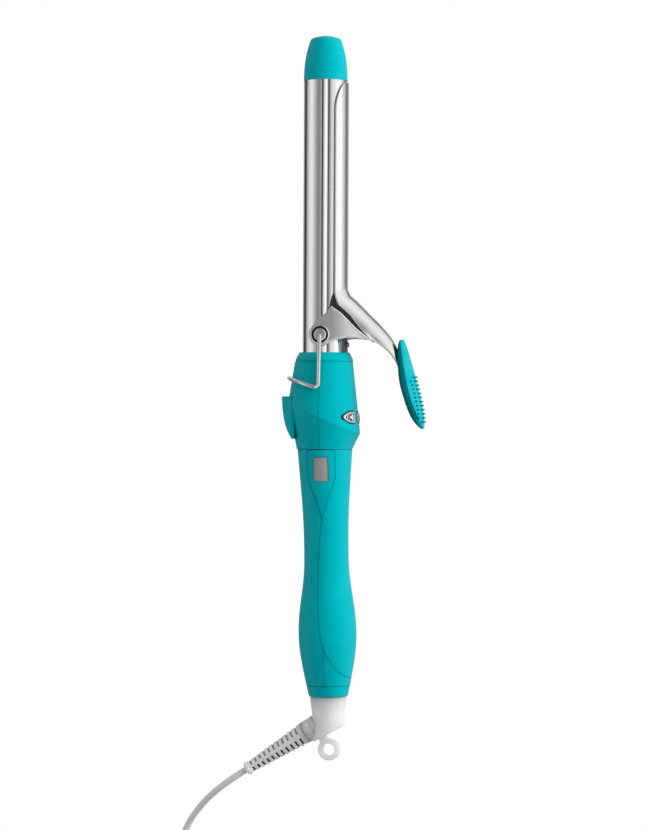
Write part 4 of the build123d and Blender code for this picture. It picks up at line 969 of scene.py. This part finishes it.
# A dark strip laid round each button: painted shade of the gap between button and housing.
gap_shade_black = moulded("gap_shade_black", (0.004, 0.016, 0.019), (0.003, 0.012, 0.014), 0.6, gloss=0.1)
mark_black = moulded("mark_black", (0.012, 0.018, 0.02), (0.008, 0.012, 0.014), 0.5, gloss=0.2)
button_silver = moulded(
    "button_silver", (0.62, 0.62, 0.63), (0.5, 0.5, 0.51), 0.3, edge=0.9, seam_shade=1.0
)
shell = node_surface("housing_front_shell")
chevron = [(-2.3, 1.9), (-0.6, 1.25), (0.9, 0.55), (1.9, 0.0), (0.9, -0.55), (-0.6, -1.25), (-2.3, -1.9)]
buttons = {"power_button": 0.0, "heat_down_button": button_turn, "heat_up_button": -button_turn}
gap_shades = []
for button, turn in buttons.items():
    if turn:
        sign = 1 if turn > 0 else -1
        outline = leaf_outline(sign)
        mark = [(x * sign * mark_share + sign * mark_shift, y * mark_share) for x, y in chevron]
    else:
        outline = round_outline(power_radius)
        mark = round_outline(1.5, 32, 115, 310)
    rim = widened(outline, gap_shade_width / 2 - gap_shade_lap, True)
    grown = max(rim, key=lambda line: sum(hypot(x, y) for x, y in line))
    gap_shades.append(
        laid_strip("gap_shade_" + button, shell, turn, grown, gap_shade_width / 2, gap_shade_rise, True, gap_shade_black)
    )
    face = node_surface(button)
    if turn:
        inner = [(x * ring_share - ring_shift * sign, y * ring_share) for x, y in outline]
        second = ("_ring", inner, ring_half, True)
    else:
        tick = [(0.0, 0.6 + 0.4 * i) for i in range(5)]
        second = ("_tick", tick, mark_half, False)
    strips = [
        laid_strip(button + part, face, turn, path, half, mark_rise, closed, mark_black)
        for part, path, half, closed in (("_line", mark, mark_half, False), second)
    ]
    button_mark = joined(button + "_mark", strips)
    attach(button_mark, button.replace("_button", ""))
    dress(button_silver, button)
button_gap_shades = joined("button_gap_shades", gap_shades)
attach(button_gap_shades, "handle")

# ---------------------------------------------------------------- handle
# The handle's shells carry a front cover in the same teal, and a proud shield-shaped panel
# with the temperature window. The ring at the end closes the shells over the swivel.
dress(body_teal, "handle_front_shell", "handle_back_shell", "grip_panel", "display_panel", "end_ring")


def lens_material():
    """A tinted window: a glossy surface over a grey display ruled with fine upright lines."""
    material, nodes, links, output = new_material("display_lens")
    shader = nodes.new("ShaderNodeBsdfPrincipled")
    set_inputs(shader, {"Roughness": 0.12, "Specular IOR Level": 0.2})
    lines = nodes.new("ShaderNodeTexWave")
    lines.bands_direction = "X"
    set_inputs(lines, {"Scale": 450, "Distortion": 0.4})
    links.new(coordinates(nodes), lines.inputs["Vector"])
    tint = ramp(
        nodes, links, lines.outputs["Fac"], 0.2, 0.8, ((0.24, 0.24, 0.235), (0.36, 0.36, 0.35))
    )
    uneven = noise(nodes, links, coordinates(nodes, (1, 0.2, 1)), 120, 2.0)
    patchy = spread(nodes, links, uneven, 0, 0.5, 0.3, 0.7)
    display = mixed(nodes, links, patchy, tint, (0.7, 0.7, 0.7), "MULTIPLY")
    links.new(display, shader.inputs["Base Color"])
    links.new(shader.outputs["BSDF"], output.inputs["Surface"])
    return material


dress(lens_material(), "display_window")

# ---------------------------------------------------------------- inside
# The parts inside: ceramic heater and its aluminium halves, board, switches, leads and the
# swivel's brass rings, seen only with the shells off, and the screws in the handle's back shell.
ceramic = moulded("ceramic", (0.8, 0.78, 0.72), (0.74, 0.72, 0.66), 0.6)
dress(ceramic, "tip_insulator", "heater_plate", "heat_sensor")
dress(polished("spreader_aluminium", (0.75, 0.75, 0.77), 0.3), "front_heat_spreader", "rear_heat_spreader")
part_black = moulded("part_black", (0.02, 0.02, 0.022), (0.015, 0.015, 0.017), 0.5)
dress(
    part_black, "heat_shield_bush", "switch_carrier", "button_switches", "display_module",
    "board_parts", "contact_block", "swivel_core",
)
dress(moulded("board_green", (0.03, 0.2, 0.08), (0.02, 0.15, 0.06), 0.35), "circuit_board")
dress(moulded("lead_sleeve", (0.75, 0.7, 0.55), (0.65, 0.6, 0.45), 0.8), "heater_leads")
dress(polished("ring_brass", (0.75, 0.55, 0.25), 0.2), "slip_rings")
dress(screw_steel, "shell_screws")

# ---------------------------------------------------------------- swivel
# The white moulded elbow that the cord leaves by. It turns in the handle's end, so the cord
# never twists, and it has a loop to hang the iron up by.
elbow_white = moulded(
    "elbow_white", (0.605, 0.605, 0.61), (0.575, 0.575, 0.585), 0.5, edge=0.8, seam_shade=0.1, gloss=0.2,
    soft=1.0, soft_reach=0.035,
)
dress(elbow_white, "swivel_elbow")

# ---------------------------------------------------------------- strain relief
# A tapered rubber sleeve moulded on the cord: hoops joined by a bridge on the upper and the
# lower side, so that it bends sideways, with the cord's core showing between them. The slots'
# floors are painted dark as shade, darker away from the iron's tip than towards it.
root_depth = 8.5
relief_length = 41.0
relief_collar = 2.5
relief_base = 6.25
relief_end = 3.4
relief_collar_radius = 3.9
relief_slots = 11
slot_pitch = 3.3
slot_width = 1.35
slot_start = 2.7
bridge_turn = radians(13)
bridge_edge = 0.001
core_share = 0.86
bridge_share = 0.985
hoop_round = 0.16
relief_sides = 72


def from_bridge(turn):
    """How far a turn round the sleeve lies from the nearer bridge."""
    return min(abs(turn - pi / 2), abs(turn - 3 * pi / 2))


def relief_mesh():
    """The sleeve as rings of points: doubled rings make the slots' walls. Faces down in a slot
    get painted shade, the ones away from the iron's tip (1) darker than the ones towards it (2)."""
    tip = Vector(cord_route[0])
    direction = (Vector(cord_route[1]) - tip).normalized()
    foot = tip - direction * relief_length
    across = direction.cross(Vector((0, 0, 1))).normalized()
    taper = (relief_end - relief_base) / (relief_length - relief_collar)
    # Each ring: how far along, its radius outside, and whether it lies inside a slot.
    rings = [(-root_depth, relief_base * 0.9, False), (-root_depth, relief_base + 0.2, False)]
    for slot in range(relief_slots):
        t = slot_start + slot * slot_pitch
        out = relief_base + taper * t
        far = out + taper * slot_width
        rings += [
            (t - hoop_round, out, False), (t, out - hoop_round, False), (t, core_share * out, True),
            (t + slot_width, core_share * out, True), (t + slot_width, far - hoop_round, False),
            (t + slot_width + hoop_round, far, False),
        ]
    rings += [
        (relief_length - relief_collar, relief_end, False),
        (relief_length - relief_collar, relief_collar_radius - 0.3, False),
        (relief_length - relief_collar + 0.3, relief_collar_radius, False),
        (relief_length - 0.5, relief_collar_radius, False),
        (relief_length, relief_collar_radius - 0.5, False),
        (relief_length, cord_radius / MM * 0.9, False),
    ]
    turns = [2 * pi * i / relief_sides for i in range(relief_sides)]
    for side in (0, pi):
        for sign in (-1, 1):
            for nudge in (-bridge_edge, bridge_edge):
                turns.append(side + pi / 2 + sign * (bridge_turn + nudge))
    turns = sorted(t % (2 * pi) for t in turns)
    vertices, faces, dark = [], [], []
    for t, radius, slotted in rings:
        for a in turns:
            bridged = slotted and from_bridge(a) < bridge_turn
            r = radius / core_share * bridge_share if bridged else radius
            vertices.append((foot + direction * t + across * cos(a) * r
                             + Vector((0, 0, 1)) * sin(a) * r) * MM)
    width = len(turns)
    for r in range(len(rings) - 1):
        slotted = rings[r][2] and rings[r + 1][2]
        for i in range(width):
            j = (i + 1) % width
            faces.append((r * width + i, r * width + j, (r + 1) * width + j, (r + 1) * width + i))
            sunk = slotted and from_bridge(turns[i]) > bridge_turn
            tipward = cos(turns[i]) > 0
            dark.append((2 if tipward else 1) if sunk else 0)
    return vertices, faces, dark


def face_outward(piece, sharp=pi):
    """Turns a closed piece's faces outwards. Edges that bend more than sharp stay crisp."""
    work = bmesh.new()
    work.from_mesh(piece.data)
    bmesh.ops.recalc_face_normals(work, faces=work.faces)
    for edge in work.edges:
        edge.smooth = len(edge.link_faces) < 2 or edge.calc_face_angle(0) < sharp
    work.to_mesh(piece.data)
    work.free()


relief_white = moulded(
    "relief_white", (0.71, 0.70, 0.69), (0.67, 0.66, 0.65), 0.45, edge=0.2, soft=0.6, soft_reach=0.02
)
# Painted shade for the slots' floors: near black away from the tip, grey towards it.
relief_deep_shade = moulded("relief_deep_shade", (0.03, 0.026, 0.026), (0.02, 0.018, 0.018), 0.7)
relief_shade = moulded("relief_shade", (0.30, 0.27, 0.26), (0.24, 0.21, 0.20), 0.7)
relief_vertices, relief_faces, relief_slot_shade = relief_mesh()
strain_sleeve = link_mesh(
    "strain_sleeve", relief_vertices, relief_faces, relief_white, relief_deep_shade, relief_shade,
    kinds=relief_slot_shade,
)
face_outward(strain_sleeve, radians(50))
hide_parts("strain_relief")
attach(strain_sleeve, "swivel")

# ---------------------------------------------------------------- tie
# A strap of black woven tape holds the coil together. It goes round the bundle a little more
# than once, and its end is lapped over the outside and grips itself.
tie_low, tie_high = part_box("cord_tie")
tie_turn = radians(35)
tie_half_width = 4.0
tie_thickness = 0.7
tie_fit = 0.06
tie_edge_sink = 0.1
bundle_place = 21.0
lap_share = 0.22


def tie_mesh():
    """The strap as a ribbon that runs a little more than once round the coil's bundle."""
    half = 4 * cord_radius / MM + tie_fit
    corner = cord_radius / MM
    round_turn = tie_turn + tie_half_width / bundle_place
    out = Vector((cos(round_turn), sin(round_turn), 0))
    width_way = Vector((-sin(round_turn), cos(round_turn), 0))
    middle = coil_centre / MM + out * bundle_place + Vector((0, 0, (tie_low.z + tie_high.z) / 2 / MM))
    outline = []
    for cx, cy, start in ((1, 1, 0), (-1, 1, 90), (-1, -1, 180), (1, -1, 270)):
        for k in range(7):
            a = radians(start + 15 * k)
            outline.append((
                cx * (half - corner) + corner * cos(a), cy * (half - corner) + corner * sin(a),
                cos(a), sin(a),
            ))
    lap = int(len(outline) * lap_share)
    vertices, faces = [], []
    total = len(outline) + lap
    for i in range(total):
        x, y, nx, ny = outline[i % len(outline)]
        over = 0.04 + (tie_thickness * 0.5 if i >= len(outline) - 2 else 0.0)
        for level in (over, over + tie_thickness * 0.45):
            for side in (-1, -0.9, 0.9, 1):
                sink = tie_edge_sink if abs(side) == 1 else 0.0
                place = middle + out * (x + nx * (level - sink * level)) + Vector((0, 0, 1)) * (
                    y + ny * (level - sink * level))
                vertices.append((place + width_way * side * tie_half_width) * MM)
    for i in range(total - 1):
        a, b = 8 * i, 8 * (i + 1)
        loop = (0, 1, 2, 3, 7, 6, 5, 4)
        for k in range(8):
            p, q = loop[k], loop[(k + 1) % 8]
            faces.append((a + p, a + q, b + q, b + p))
    faces.append((0, 4, 5, 6, 7, 3, 2, 1))
    e = 8 * (total - 1)
    faces.append((e + 1, e + 2, e + 3, e + 7, e + 6, e + 5, e + 4, e))
    return vertices, faces


tie_black = moulded(
    "tie_black", (0.035, 0.035, 0.037), (0.02, 0.02, 0.022), 0.8, grain=0.25, grain_scale=1500
)
tie_strap = link_mesh("tie_strap", *tie_mesh(), tie_black)
face_outward(tie_strap)
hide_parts("cord_tie")
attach(tie_strap, "swivel")

# ---------------------------------------------------------------- plug
# A flat two-pin plug moulded on the cord's end in the cord's own plastic, with round pins of
# bright plated brass.
plug_white = moulded(
    "plug_white", (0.66, 0.66, 0.67), (0.62, 0.62, 0.64), 0.35, edge=1.6, seam_shade=0.3, soft=0.2
)
dress(plug_white, "plug_body")
dress(polished("pin_metal", (0.82, 0.82, 0.8), 0.15), "plug_pins")
